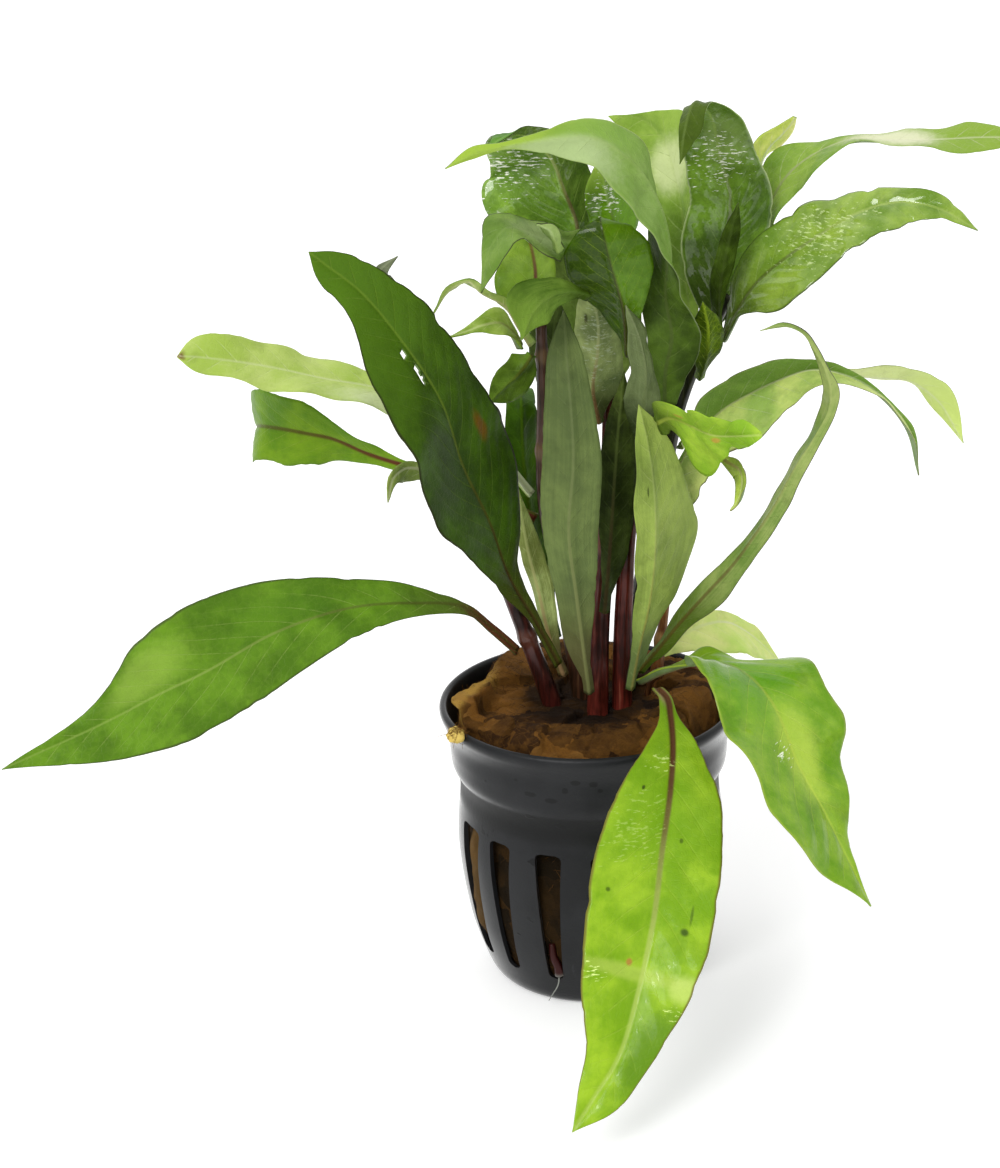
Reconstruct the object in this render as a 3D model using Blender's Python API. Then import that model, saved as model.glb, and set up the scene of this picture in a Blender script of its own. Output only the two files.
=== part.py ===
"""Potted hygrophila: a slotted net pot, a plug of rock wool, cut stems and lance-shaped leaves.

The origin is the middle of the pot's foot, +Z is up and -Y is the front. The tables below are in
millimetres and degrees, and the shapes are built in metres.
"""
import math

import bmesh
import bpy
import numpy as np
from mathutils import Matrix, Vector

MM = 0.001
GAP = 0.3                    # clearance between neighbouring pieces

# Net pot: outer radius and height up the wall, from the foot to the lip
POT_HEIGHT = 51.0
LIP_RADIUS = 26.0
FOOT_RADIUS = 16.6
FLOOR = 1.4
POT_OUTSIDE = [
    (FOOT_RADIUS, 0.0), (18.0, 0.8), (18.9, 2.4), (20.3, 6.2), (21.7, 11.0), (23.0, 19.0), (23.5, 26.5),
    (22.9, 33.0), (22.9, 37.0), (24.1, 39.2), (24.5, 46.0), (25.7, 48.8), (LIP_RADIUS, 50.2),
    (25.6, POT_HEIGHT),
]
POT_INSIDE = [
    (25.0, POT_HEIGHT), (24.6, 49.0), (23.6, 46.0), (23.2, 39.8), (22.0, 37.4), (22.0, 33.0),
    (22.6, 26.5), (20.8, 11.0), (17.6, FLOOR),
]
POT_SEGMENTS = 45
SLOTS = 15
FIRST_SLOT = 3.5             # degrees from the front towards the right
WIDE_SLOT, WIDE_TURN, WIDENING = 12, 2.5, 1.35     # one slot is wider: its number, turn and factor
SLOT_FOOT, SLOT_HEAD = 6.0, 31.5
SLOT_FOOT_WIDTH, SLOT_HEAD_WIDTH = 2.6, 4.8
DRAIN_RADIUS, DRAIN_WIDTH, DRAIN_LENGTH = 12.0, 2.4, 6.0
DRAINS = 5

# Rock wool: a torn round plug, domed a little above the lip
WOOL_TOP = 52.0
WOOL_SEGMENTS = 24
WOOL_SIDE = [(17.2, FLOOR + GAP), (20.2, 11.0), (21.3, 20.0), (21.3, 37.0), (22.6, 41.0), (22.8, 48.0)]
WOOL_DOME = [(22.0, 50.4), (15.0, 51.8), (8.0, WOOL_TOP)]
# Where the plug stands off the wall: turn, sharpness and depth
WOOL_GAPS = ((258, 20, 5.2), (64, 14, 2.8))
WOOL_BLOCK = (288, 1.5)      # the torn block that stands up at the left: turn, rise

# Stems: where each one runs, from its cut end in the wool to its tip, then its foot and tip radius
STEMS = {
    "stem_tall_left": ([(-0.4, 2, 46), (-3.4, 4, 68), (-6.4, 5, 86), (-6.2, 5, 104), (-6.2, 4, 117)],
                       1.7, 0.9),
    "stem_tall_right": ([(6, 4, 46), (9.7, 5, 67), (13.2, 6, 85), (17, 6, 103), (20.6, 6, 112),
                         (24.6, 6, 120)], 1.9, 1.2),
    "stem_left": ([(-5, -1, 46), (-8.2, -1, 57), (-12.3, 0, 69), (-14, 0, 74)], 1.8, 1.2),
    "stem_centre": ([(1.5, -3.5, 46), (2.4, -2, 66), (3.7, -1, 80), (4.6, 1, 93), (5, 3.5, 106),
                     (4, 5, 122)], 1.9, 1.1),
    "stem_middle_right": ([(5.8, -2.6, 46), (6.6, -2, 70), (8.2, -1, 86), (11.4, 0, 96),
                           (14.6, 0, 103)], 1.8, 1.1),
    "stem_thin_right": ([(11.5, 4, 46), (13.3, 6, 59), (14.7, 7, 68)], 1.4, 0.6),
    "stalk_wilted": ([(10.2, 0.6, 49.5), (11.4, 0.3, 53.6), (13.8, 0.4, 55.1), (17, 0.9, 55.9),
                      (19.8, 0.8, 55.3)],
                     0.6, 0.4),
}
STEM_SIDES = 8
STEM_SLICES = 10
JOINT_SWELL = 0.25           # how far a stem's ring-shaped leaf joint stands proud
STEM_JOINTS = {"stem_tall_left": (95, 112), "stem_tall_right": (112,), "stem_left": (63,),
               "stem_centre": (80, 112), "stem_middle_right": (86,), "stem_thin_right": (59,),
               "stalk_wilted": ()}

# Leaves: blade thickness, and the stalk and midrib that thicken it
BLADE = 0.5
STALK_WIDTH = 1.5
STALK_THICKNESS = 1.3
RIB_THICKNESS = 0.8
BROAD = 12.0                 # blades at least this wide get two more rows of faces
EXTRA_SLICES = 3             # cross-sections beyond one for each station
HOLLOWING = -8               # degrees by which each half of a blade curls back at its edge

# Leaf colours: upper faces in the sun, in the light and in the shade, the sage underside, and
# blades that the light shines through
TONES = {"sunlit": (0.33, 0.58, 0.03), "mid": (0.13, 0.35, 0.02), "dark": (0.04, 0.12, 0.01),
         "sage": (0.24, 0.35, 0.15), "backlit": (0.46, 0.63, 0.10)}

# Each leaf: its colour, the compass direction in which it leans (0 front, 90 right, None from base
# to tip), the fold of its halves about the midrib, and stations from base to tip, each with the
# midrib's place, the width of the half on either side, and the roll of the blade about the midrib.
LEAVES = {
    "leaf_low_left": ("mid", None, 12, [
        (-12, -2, 61, 0, 0, 60), (-16, -4, 66, 0, 0, 60), (-21, -8, 72, 1.4, 0.7, 60),
        (-29, -13, 75, 2.4, 3, 60), (-39, -19, 77, 4.9, 4.9, 60), (-51, -26, 76, 7.7, 8.7, 60),
        (-63, -33, 72, 8.8, 10.8, 65), (-69.5, -36.3, 70.2, 8.9, 9, 63),
        (-76, -39.5, 68, 7.2, 4.5, 60), (-93.5, -47, 63, 0, 0, 55)]),
    "leaf_broad_left": ("dark", None, 12, [
        (-5, -4, 59, 0, 0, 80), (-8, -5, 66, 0.5, 1, 80), (-13, -8, 77, 3.5, 2.9, 70),
        (-16, -11, 88, 8.8, 8, 70), (-20, -14, 99, 14.1, 12, 65), (-23, -17, 111, 15.3, 9.5, 60),
        (-29, -21, 123, 11, 7.5, 70), (-35, -24, 132, 4.6, 4.5, 80),
        (-40.6, -26.6, 137.6, 1.7, 1.8, 98), (-42, -27.2, 139, 0, 0, 100)]),
    "leaf_backlit_left": ("backlit", None, 12, [
        (-8.6, 4, 87.5, 0, 0, 35), (-14, 5, 94, 0.5, 0.5, 40), (-21, 5, 100, 2.5, 0.5, 40),
        (-33, 4, 107, 6, 3, 30), (-43, 2, 110, 6, 4.9, 20), (-52, 0, 113, 5, 4.3, 40),
        (-59, -2, 115, 3.2, 4.4, 50), (-66.2, -3, 116.3, 0, 0.2, 50)]),
    "leaf_folded_left": ("mid", None, 12, [
        (-8, 7, 82, 0, 0, 80), (-17, 7, 87, 0, 0, 85), (-26, 8, 91, 0.5, 0.5, 90),
        (-31, 8, 92.5, 1.5, 1, 95), (-36, 9, 94, 1.9, 2.5, 100), (-43, 10, 97, 5.2, 4, 100),
        (-46.6, 10.8, 97.6, 5.8, 6.5, 96),
        (-50, 12, 98, 6.4, 6.5, 90), (-54.5, 16, 97.5, 5.9, 6.7, 75), (-56.3, 21, 96, 6.5, 6, 60),
        (-56.3, 27, 93, 4.4, 3.2, 50), (-54.5, 33, 89, 0, 0, 45)]),
    "leaf_front": ("sunlit", 0, 12, [
        (12.7, -11.5, 53.4, 0, 0, 0), (12.4, -13.6, 56.8, 0.3, 0.3, 0),
        (11.2, -15.5, 59, 0.5, 0.5, 0), (12.6, -17.6, 58.2, 0.7, 1.4, 0), (13, -21.5, 56.4, 1.3, 2, 0),
        (13, -26, 54, 3.7, 4, 0),
        (12, -34, 49, 8, 8, 0), (10, -42, 42, 9.8, 10.5, 0), (8, -50, 34, 9.6, 11, 0),
        (6.6, -53.6, 29.6, 9.4, 10.4, 0),
        (5, -57, 25, 8.1, 9.5, 0), (1, -63, 16, 4.8, 5.4, 0), (-2.7, -66, 11.6, 4, 2.9, 0),
        (-6.3, -69, 7.4, 0, 0, 0)]),
    "leaf_right_front": ("mid", None, 12, [
        (8.9, -3.8, 55.6, 0, 0, 0), (12, -8, 59, 0, 0, 0), (17, -14, 63, 3, 1, -20),
        (21, -19, 65, 4.5, 7, 10),
        (25, -24, 65, 11, 10, 10), (29, -30, 62, 10.3, 11.4, -5),
        (30.7, -33.2, 58.6, 11.2, 12.6, 0), (32, -36, 55, 10, 12, 5),
        (36, -41, 48, 5.7, 13, 10), (40, -45, 40, 1.2, 6.5, 10), (43, -48, 34, 0, 0, 15)]),
    "leaf_ribbon": ("sage", None, 25, [
        (9, -3, 57, 0, 0, 70), (12, -4, 61, 1.5, 0.5, 70), (16, -6, 67, 1.8, 2, 70),
        (20, -9, 73, 3.1, 2.4, 75), (25, -12, 80, 2.1, 2.2, 85), (28, -14.5, 85.5, 2, 2, 95),
        (31, -17, 91.5, 1.9, 2.8, 100), (34, -19, 98.5, 1.6, 3.3, 105), (37, -20, 104, 1.1, 3, 100),
        (39, -21, 109, 1, 2.8, 80), (39, -22, 112, 1.3, 1.7, 60), (38, -23, 116, 0.5, 1.5, 60),
        (36, -24, 120, 0.5, 1, 75), (34, -25, 123, 0.5, 0.5, 90), (31, -26, 124.5, 0.5, 0.5, 95),
        (27, -27, 124, 0, 0, 95)]),
    "leaf_sage_right": ("sage", 20, 12, [
        (7, -8, 56, 0, 0, 5), (8, -9, 63, 3, 1, -10), (10, -11, 73, 6.8, 2.5, -10),
        (11, -12, 83, 12.2, 3.5, -20), (11, -12, 93, 8, 3.5, -15), (10, -11, 102, 5, 2, -15),
        (9, -9, 107, 0, 0, 0)]),
    "leaf_sage_centre": ("sage", 0, 12, [
        (0, -9, 56, 0, 0, 0), (-1, -11, 66, 1.5, 3, 0), (-2, -13, 76, 3.5, 3.5, 0),
        (-3, -14, 87, 5, 4.5, 0),
        (-2, -14, 100, 4.8, 5.1, -5), (-2.2, -12.5, 109.4, 3.7, 4.2, -5),
        (-2.6, -10, 117, 2.6, 2.9, -5), (-2.8, -7.5, 123, 0, 0, -10)]),
    "leaf_sage_low_left": ("sage", 0, 12, [
        (-4, 1, 55, 0, 0, 0), (-6.2, 0.8, 62, 1.6, 1, 5), (-8, 1.6, 71, 2.7, 1.1, 5),
        (-9.6, 2.2, 78, 2.5, 1.5, 0),
        (-11, 3.3, 89.2, 0, 0, 5)]),
    "leaf_arch_crown": ("mid", None, 12, [
        (14, 0, 104, 2.4, 2, -225), (14, -2, 110, 4.2, 3.8, -225), (15, -4, 117, 4, 5, -215),
        (14, -6, 124, 5, 5, -180), (14, -10, 132, 5.5, 5.5, -150), (12, -15, 141.5, 6, 6, -120),
        (8, -20, 149, 6.5, 6.5, -112), (2, -24, 154, 4, 4.5, -115), (-6, -28, 155, 1.5, 1.8, -100),
        (-12.2, -31.6, 155.2, 0.6, 0.6, -90), (-16.6, -33.9, 154.7, 1, 0.9, -90),
        (-20.6, -35.9, 153.1, 0, 0, -90)]),
    "leaf_glossy_top": ("dark", 180, 12, [
        (22.6, 9.2, 113.3, 0, 0, 0), (24, 10, 119, 4.5, 3.5, 0), (25, 10.5, 128, 7.5, 6.5, 0),
        (26, 10, 136, 7, 7, 0), (24, 7, 144, 6, 6, 0), (22, 2, 152, 4.5, 5, 10),
        (19, -4, 155, 2.1, 2.5, -15), (17, -9, 152, 1, 2.5, 0), (16, -11, 147, 0, 0, 0)]),
    "leaf_glossy_right": ("mid", None, 12, [
        (24, 3.2, 114, 0.3, 0.3, -50), (26.4, 1.6, 119.4, 3, 1.4, -50), (29, 0, 124, 5.5, 6.7, -55),
        (34, -2, 129, 6.5, 9.1, -50), (39, -4, 133, 6.4, 7.8, -50), (45, -6, 137, 4.1, 6.6, -45),
        (51, -8, 139, 2.8, 5.5, -45), (57, -10, 138.3, 2.3, 2.2, -50), (63.2, -12.2, 135, 0, 0, -50)]),
    "leaf_shaded_crown": ("dark", 0, 12, [
        (-4, 9, 95.5, 0, 0, 10), (-4, 9, 102.5, 2.5, 2.5, 15), (-4, 8.5, 109.5, 2.5, 4.5, 15),
        (-4, 7.5, 116, 3, 3.5, 0), (-3, 6.5, 121, 0, 0, 0)]),
    "leaf_dark_behind": ("dark", 0, 12, [
        (3, 11, 100, 0, 0, 0), (3, 12, 108, 6.5, 4, 0), (3, 13, 118, 8.4, 6.5, 0),
        (2, 12, 128, 8.6, 7, 0),
        (1, 10.5, 136, 3, 5, 0), (1, 9.5, 141, 0, 0, 0)]),
    "leaf_long_right": ("mid", None, 12, [
        (26.4, 11.4, 117.6, 0, 0, -25), (30, 13, 122, 1, 2, -35), (32, 14, 131, 2.5, 4, -25),
        (36, 14, 139, 6, 5.6, -30), (41, 13, 143, 3.7, 8.3, -10), (46, 12, 145, 1.5, 3.6, -5),
        (53, 11, 145, 3.5, 3.6, -5), (61, 10, 145, 3.4, 4.5, -20), (66.5, 9, 145.3, 3.6, 4.2, -30),
        (74.5, 7.4, 145.4, 0, 0, -50)]),
    "leaf_vfold_right": ("mid", None, 55, [
        (13, 3, 80, 0, 0, -110), (15, 3, 88, 1, 6, -110), (19, 2, 97, 2, 6.8, -110),
        (24, 0, 103, 7, 9, -95),
        (28, -2, 106, 7.4, 10.6, -90), (33, -4, 109, 7.2, 7.4, -90), (38, -6, 111, 3.2, 6.4, -75),
        (44.5, -9, 110, 1.2, 6, -40), (48.8, -10, 107.2, 0.6, 5, -30), (52.8, -12, 102.2, 1, 4, -25),
        (54.6, -14, 94.8, 0, 0, -25)]),
    "leaf_pale_right": ("backlit", None, 12, [
        (16.8, 7.5, 94.2, 0, 0, 45), (21, 13, 96, 0, 0, 45), (28, 16, 100, 1, 0.5, 50), (37, 19, 103, 2.5, 0.5, 50),
        (46, 21, 102, 3, 1.3, 45), (53, 22, 101, 3.4, 3.1, 35), (59.5, 23, 99.5, 1.8, 3.4, 35),
        (63.7, 23, 96.2, 2.6, 3.3, 40), (68.5, 22, 88, 0, 0, 45)]),
    "leaf_bright_ragged": ("sunlit", None, 12, [
        (12, -10, 104, 1.8, 2, -100), (14, -13.5, 106, 4, 4.4, -115), (17, -18, 106, 3.6, 9.8, -115),
        (20, -23, 106, 6.5, 5, -125), (24, -27, 107, 5, 2.5, -125), (27, -30, 108, 0.5, 0.5, -80)]),
    "leaf_curled_right": ("mid", None, 12, [
        (21, -14, 100, 0, 0, -80), (23, -16, 99, 1, 1.1, -75), (25, -18, 98, 2, 2.4, -90),
        (25, -19, 95, 2, 2, -90), (24, -20, 93, 0.5, 0.5, -90), (23, -20, 92, 0, 0, -100)]),
    "leaf_wrinkled_sage": ("sage", 0, 12, [
        (3, 1, 101, 0, 0, 0), (2, 0.5, 107, 5, 1, -5), (3, 0, 114, 4, 3.5, 5),
        (3, -0.5, 119.5, 2.5, 4, 0),
        (2, -1.5, 124, 1, 2, 10)]),
    "leaf_left_crown": ("sage", None, 12, [
        (4, -3.4, 130.8, 0, 0, 70), (1.5, -4.4, 133.8, 1.5, 1.5, 75), (-2, -6.4, 134.3, 2, 1.5, 65),
        (-6, -10.6, 135.9, 5.5, 3, 40), (-9, -14, 138, 7, 2.5, 35), (-12, -17, 139, 4.5, 4, 20),
        (-14, -19, 137, 4.5, 2, 5), (-16, -21, 130, 0, 0, 5)]),
    "leaf_block_crown": ("dark", 0, 12, [
        (0, 6, 127, 0, 0, 0), (0, 6, 134, 4.5, 7, -10), (-2, 5, 140, 5.5, 12.9, -15),
        (-4, 3, 146, 4, 11.7, 0), (-8, 0, 150.4, 2.3, 8, -15), (-11, -5, 151.3, 1.5, 2.9, -20),
        (-14, -9, 150.3, 0, 0, -5)]),
    "leaf_bright_crown": ("mid", 0, 12, [
        (8, -3, 114, 0, 0, 30), (7, -8, 123.5, 3.5, 6, 15), (5, -11, 131, 7, 7.5, 0),
        (4, -12, 135.5, 5.5, 6.5, 5), (3.5, -11, 138, 3, 3.5, 5), (3.5, -9.5, 138.5, 0, 0, 5)]),
    "leaf_red_rib_crown": ("backlit", 180, 12, [
        (-6, 2, 119, 0, 0, 0), (-7, 1, 123, 5.8, 2.5, 0), (-7, 1, 128, 6.6, 3.5, 10),
        (-8, 1, 133, 4, 2.5, 0), (-10, 0, 137, 0, 0, 0)]),
    "leaf_forward_crown": ("mid", None, 12, [
        (1, -12, 126.5, 0, 0, -100), (-2, -14, 128, 1.5, 2, -95), (-5, -16, 128, 3, 3, -100),
        (-8, -18, 126, 5, 3.5, -105), (-10, -20, 122, 0, 1, -60)]),
    "leaf_thin_arch_left": ("mid", None, 12, [
        (-8, 2, 115, 0, 0, -30), (-10, 0, 119, 0, 0, -30), (-12, -2, 123, 1, 2, -25),
        (-16, -4, 126, 1.2, 1.6, -15), (-18, -5, 128, 0.5, 3, -35), (-21, -6, 127, 0.8, 1, -60),
        (-24, -7, 123, 0, 0, -55)]),
    "leaf_small_left": ("mid", None, 12, [
        (-9.5, 5, 113.5, 0, 0, 25), (-11, 4, 116.4, 1.5, 1.5, 40), (-13, 3, 118.2, 2.8, 2.9, 40),
        (-16, 2, 118.2, 2, 1.9, 30), (-19, 1, 117.4, 0.8, 1, 10), (-22, 0, 117, 0, 0, 0)]),
    "leaf_mid_left": ("mid", None, 12, [
        (-8, 2, 113, 0, 0, -100), (-9, 2, 111.5, 3, 2.5, -95), (-10.5, 1.5, 110, 2.9, 4, -80),
        (-13, 1, 108, 2.6, 5.5, -70), (-15.5, 0, 105.5, 0, 0, -90)]),
    "leaf_back_low_right": ("backlit", None, 12, [
        (12, 8, 54, 0, 0, -55), (16, 12, 56, 1, 2.5, -65), (21, 16, 57, 2.6, 5, -60),
        (26, 20, 56, 2.1, 7, -45),
        (31, 23, 52, 2.6, 6.5, -40), (36.8, 24, 45.5, 0, 0, -60)]),
    "leaf_back_crown": ("backlit", None, 12, [
        (20, 11, 113, 0, 0, 45), (19, 15, 120, 2.5, 3, 50), (19, 18, 128, 4.5, 5.5, 70),
        (18, 21, 136, 6, 8, 80), (16, 25, 143, 5.5, 7.5, 70), (13, 29, 146, 5, 1.6, 70),
        (7, 34, 146, 0, 0, 65)]),
    "leaf_yellow_tip": ("backlit", None, 12, [
        (23.6, 12.4, 114.8, 0, 0, 80), (26, 14.8, 120, 0.3, 0.3, 80), (28, 17, 126, 0.8, 0.6, 80),
        (30, 18, 131, 1.8, 1.3, 75), (31, 20, 137, 2.8, 2, 65),
        (33, 21, 142, 2.8, 3, 65), (36, 21, 145, 2.4, 1.8, 85), (37.8, 20, 147.6, 0.4, 0.4, 90)]),
    "leaf_small_glossy": ("mid", 0, 12, [
        (6, 4, 129, 0, 0, -20), (6, 5, 134, 5.4, 3.6, -20), (5, 5, 138, 5, 4, -30),
        (4, 3, 146, 0, 0, 0)]),
    "leaf_small_dark": ("dark", 0, 12, [
        (23, 2, 116, 0, 0, 0), (23, 0, 123, 1.5, 1.5, -5), (24, -2, 130, 2, 1.5, -5),
        (25, -3, 135, 1.5, 1, -5), (26, -4, 139, 0, 0, -5)]),
    "leaf_cupped_young": ("mid", 0, 15, [
        (20, 2, 108, 0, 0, 5), (21, -1, 114, 2.8, 2.9, -5), (21, -3, 118, 2.5, 2.7, -5),
        (20, -5, 123, 0, 0, 0)]),
    "leaf_small_sage": ("sage", 0, 12, [
        (10, -5.6, 100, 1.4, 1.4, -5), (10, -6, 106, 3, 3.2, -5), (10, -8, 112, 2.8, 3, -45),
        (9, -10, 118.5, 3, 2.5, -55),
        (7, -11, 124.5, 0, 0, -40)]),
    "leaf_dark_centre": ("dark", 0, 12, [
        (3, -5, 69, 0, 0, 0), (4, -5, 79, 3, 1.5, 0), (5, -5, 92, 4, 2.5, -5), (6, -5, 103, 3.2, 2, -5),
        (7, -5.4, 111.8, 0, 0, -5)]),
    "leaf_dark_back_left": ("dark", 0, 12, [
        (-5, 6, 60, 0, 0, 0), (-7, 8, 70, 2, 0.5, -10), (-9, 9, 81, 3.5, 3, -20),
        (-10, 10, 92, 3.5, 3, -20),
        (-10, 11, 102, 3, 2.5, -15), (-10, 15, 103, 2.5, 2.5, 0), (-10, 22, 100, 0, 0, 0)]),
    "leaf_drooping_left": ("dark", None, 12, [
        (-19, 4, 89, 0, 0, 90), (-23, 4, 91, 1, 0.5, 95), (-27, 3, 93, 2.1, 1, 100),
        (-30, 1, 94, 3, 1.4, 100), (-32, -1, 93, 1.4, 1.1, 100), (-33, -2, 89, 0, 0, 90)]),
    "leaf_hooked_left": ("dark", None, 12, [
        (-12, 8, 90, 0, 0, -15), (-18, 5, 102, 1.5, 2, -20), (-23, 1, 114, 1.5, 2.5, -10),
        (-28, -4, 123, 1.5, 2.5, -5), (-31, -8, 129, 1.6, 1.2, -5), (-32, -10, 131, 1.6, 1.1, 0),
        (-29, -12, 134, 0, 0, 0)]),
    "leaf_shoot_tip": ("sunlit", None, 12, [
        (-3.5, -15, 135, 0, 0, -35), (-4, -16, 137, 1, 1, -30), (-5, -17, 139, 1, 1.5, -35),
        (-7, -18, 140, 0, 0, -40)]),
}


def material(name, colour, roughness):
    """A plain surface with one colour."""
    surface = bpy.data.materials.new(name)
    surface.use_nodes = True
    shader = surface.node_tree.nodes["Principled BSDF"]
    shader.inputs["Base Color"].default_value = (*colour, 1)
    shader.inputs["Roughness"].default_value = roughness
    surface.diffuse_color = (*colour, 1)
    return surface


def add_object(name, bm, surface, smooth_angle=50):
    """A scene object from a closed mesh in metres, with its faces turned outwards."""
    bmesh.ops.recalc_face_normals(bm, faces=bm.faces)
    mesh = bpy.data.meshes.new(name)
    bm.to_mesh(mesh)
    bm.free()
    mesh.shade_smooth()
    mesh.set_sharp_from_angle(angle=math.radians(smooth_angle))
    mesh.materials.append(surface)
    thing = bpy.data.objects.new(name, mesh)
    bpy.context.scene.collection.objects.link(thing)
    return thing


def loft(rings):
    """A closed body through rings of points in millimetres, each with the same number of points."""
    bm = bmesh.new()
    rows = [[bm.verts.new(Vector(point) * MM) for point in ring] for ring in rings]
    count = len(rows[0])
    for low, high in zip(rows, rows[1:]):
        for k in range(count):
            j = (k + 1) % count
            bm.faces.new((low[k], low[j], high[j], high[k]))
    bm.faces.new(reversed(rows[0]))
    bm.faces.new(rows[-1])
    return bm


def cutter(name, bm, surface):
    """A hidden body that only cuts others."""
    tool = add_object(name, bm, surface)
    tool.hide_render = True
    tool.display_type = "WIRE"
    return tool


def cut(target, tool):
    """Takes the tool's body out of the target."""
    difference = target.modifiers.new("cut_" + tool.name, "BOOLEAN")
    difference.operation = "DIFFERENCE"
    difference.solver = "EXACT"
    difference.object = tool


def along(stations, count):
    """Rows spaced evenly along a smooth curve through the stations; every column is eased alike."""
    rows = np.array(stations, float)
    steps = np.linalg.norm(np.diff(rows[:, :3], axis=0), axis=1)
    knots = np.concatenate(([0.0], np.cumsum(steps)))
    slopes = np.gradient(rows, knots, axis=0)
    places = np.linspace(0, knots[-1], count)
    spans = np.clip(np.searchsorted(knots, places, side="right") - 1, 0, len(steps) - 1)
    length = steps[spans][:, None]
    u = (places - knots[spans])[:, None] / length
    return ((2 * u**3 - 3 * u**2 + 1) * rows[spans] + (u**3 - 2 * u**2 + u) * length * slopes[spans]
            + (3 * u**2 - 2 * u**3) * rows[spans + 1] + (u**3 - u**2) * length * slopes[spans + 1])


def unit(vectors):
    return vectors / np.linalg.norm(vectors, axis=-1, keepdims=True)


def blade_frame(rows, lean):
    """Per slice of a leaf, the directions across the blade and out of its upper face."""
    run = unit(np.gradient(rows[:, :3], axis=0))
    if lean is None:
        heading = rows[-1, :3] - rows[0, :3]
        heading[2] = 0
    else:
        heading = np.array([math.sin(math.radians(lean)), -math.cos(math.radians(lean)), 0])
    side = np.cross(unit(heading), (0, 0, 1))
    across = unit(side - (run @ side)[:, None] * run)
    up = np.cross(across, run)
    roll = np.radians(rows[:, 5:6])
    return np.cos(roll) * across + np.sin(roll) * up, np.cos(roll) * up - np.sin(roll) * across


def leaf_rings(lean, fold, stations):
    """Closed cross-sections of a leaf: over the upper face from edge to edge and back under it."""
    broad = max(left + right for _, _, _, left, right, _ in stations) >= BROAD
    rows = along(stations, len(stations) + EXTRA_SLICES)
    across, up = blade_frame(rows, lean)
    stalk = STALK_WIDTH / 2 * np.linspace(1, 0.3, len(rows))
    halves = np.maximum(rows[:, 3:5], stalk[:, None])
    rib = np.linspace(STALK_THICKNESS, RIB_THICKNESS, len(rows)) / 2
    columns = (-1, -0.5, 0, 0.5, 1) if broad else (-1, 0, 1)
    rings = []
    for i, row in enumerate(rows):
        upper, under = [], []
        for t in columns:
            width = halves[i, 0 if t < 0 else 1]
            tilt = math.radians(fold + HOLLOWING * abs(t) / 2)
            middle = (row[:3] + width * t * math.cos(tilt) * across[i]
                      + width * abs(t) * math.sin(tilt) * up[i])
            half = BLADE / 2 + (rib[i] - BLADE / 2) * (1 - abs(t)) ** 2
            upper.append(middle + half * up[i])
            under.append(middle - half * up[i])
        rings.append(upper + under[::-1])
    return rings


def build_leaf(name):
    tone, lean, fold, stations = LEAVES[name]
    return add_object(name, loft(leaf_rings(lean, fold, stations)), material(name, TONES[tone], 0.4))


def round_rings(points, radii, sides):
    """Round cross-sections square to a smooth path."""
    run = unit(np.gradient(points, axis=0))
    across = unit(np.cross(run, (0, 1, 0)))
    other = np.cross(across, run)
    turns = [2 * math.pi * k / sides for k in range(sides)]
    return [[point + radius * (math.cos(a) * u + math.sin(a) * v) for a in turns]
            for point, radius, u, v in zip(points, radii, across, other)]


def stem_radius(name, heights):
    """Foot to tip taper, with a swollen ring at each leaf joint."""
    route, foot, tip = STEMS[name]
    radii = foot + (tip - foot) * (heights - heights[0]) / (heights[-1] - heights[0])
    for joint in STEM_JOINTS[name]:
        radii = radii + JOINT_SWELL * np.exp(-((heights - joint) / 1.5) ** 2)
    return radii


def build_stem(name):
    points = along(STEMS[name][0], STEM_SLICES)
    rings = round_rings(points, stem_radius(name, points[:, 2]), STEM_SIDES)
    return add_object(name, loft(rings), material(name, (0.09, 0.012, 0.02), 0.4))


def turned(profile, segments, radius_at=None):
    """A body of revolution from a profile that runs from the axis round and back to the axis."""
    bm = bmesh.new()
    ends = [bm.verts.new((0, 0, profile[0][1] * MM)), bm.verts.new((0, 0, profile[-1][1] * MM))]
    rows = []
    for radius, height in profile[1:-1]:
        row = []
        for k in range(segments):
            turn = 2 * math.pi * k / segments
            r, z = radius_at(radius, height, turn) if radius_at else (radius, height)
            row.append(bm.verts.new((r * math.sin(turn) * MM, -r * math.cos(turn) * MM, z * MM)))
        rows.append(row)
    for k in range(segments):
        j = (k + 1) % segments
        bm.faces.new((ends[0], rows[0][k], rows[0][j]))
        for low, high in zip(rows, rows[1:]):
            bm.faces.new((low[k], low[j], high[j], high[k]))
        bm.faces.new((ends[1], rows[-1][j], rows[-1][k]))
    return bm


def slot_cutter(turn, widening):
    """A wedge of the slot's outline that runs out through the wall."""
    bm = bmesh.new()
    inner, outer = WOOL_SIDE[0][0] - 2, LIP_RADIUS + 1
    corners = []
    for radius in (inner, outer):
        for height, width in ((SLOT_FOOT, SLOT_FOOT_WIDTH), (SLOT_HEAD, SLOT_HEAD_WIDTH)):
            for side in (-0.5, 0.5):
                corners.append((side * width * widening, -radius, height))
    verts = [bm.verts.new(Vector(c) * MM) for c in corners]
    for face in ((0, 1, 3, 2), (4, 6, 7, 5), (0, 4, 5, 1), (2, 3, 7, 6), (0, 2, 6, 4), (1, 5, 7, 3)):
        bm.faces.new([verts[k] for k in face])
    bmesh.ops.rotate(bm, verts=bm.verts, cent=(0, 0, 0), matrix=Matrix.Rotation(turn, 3, "Z"))
    return bm


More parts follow.
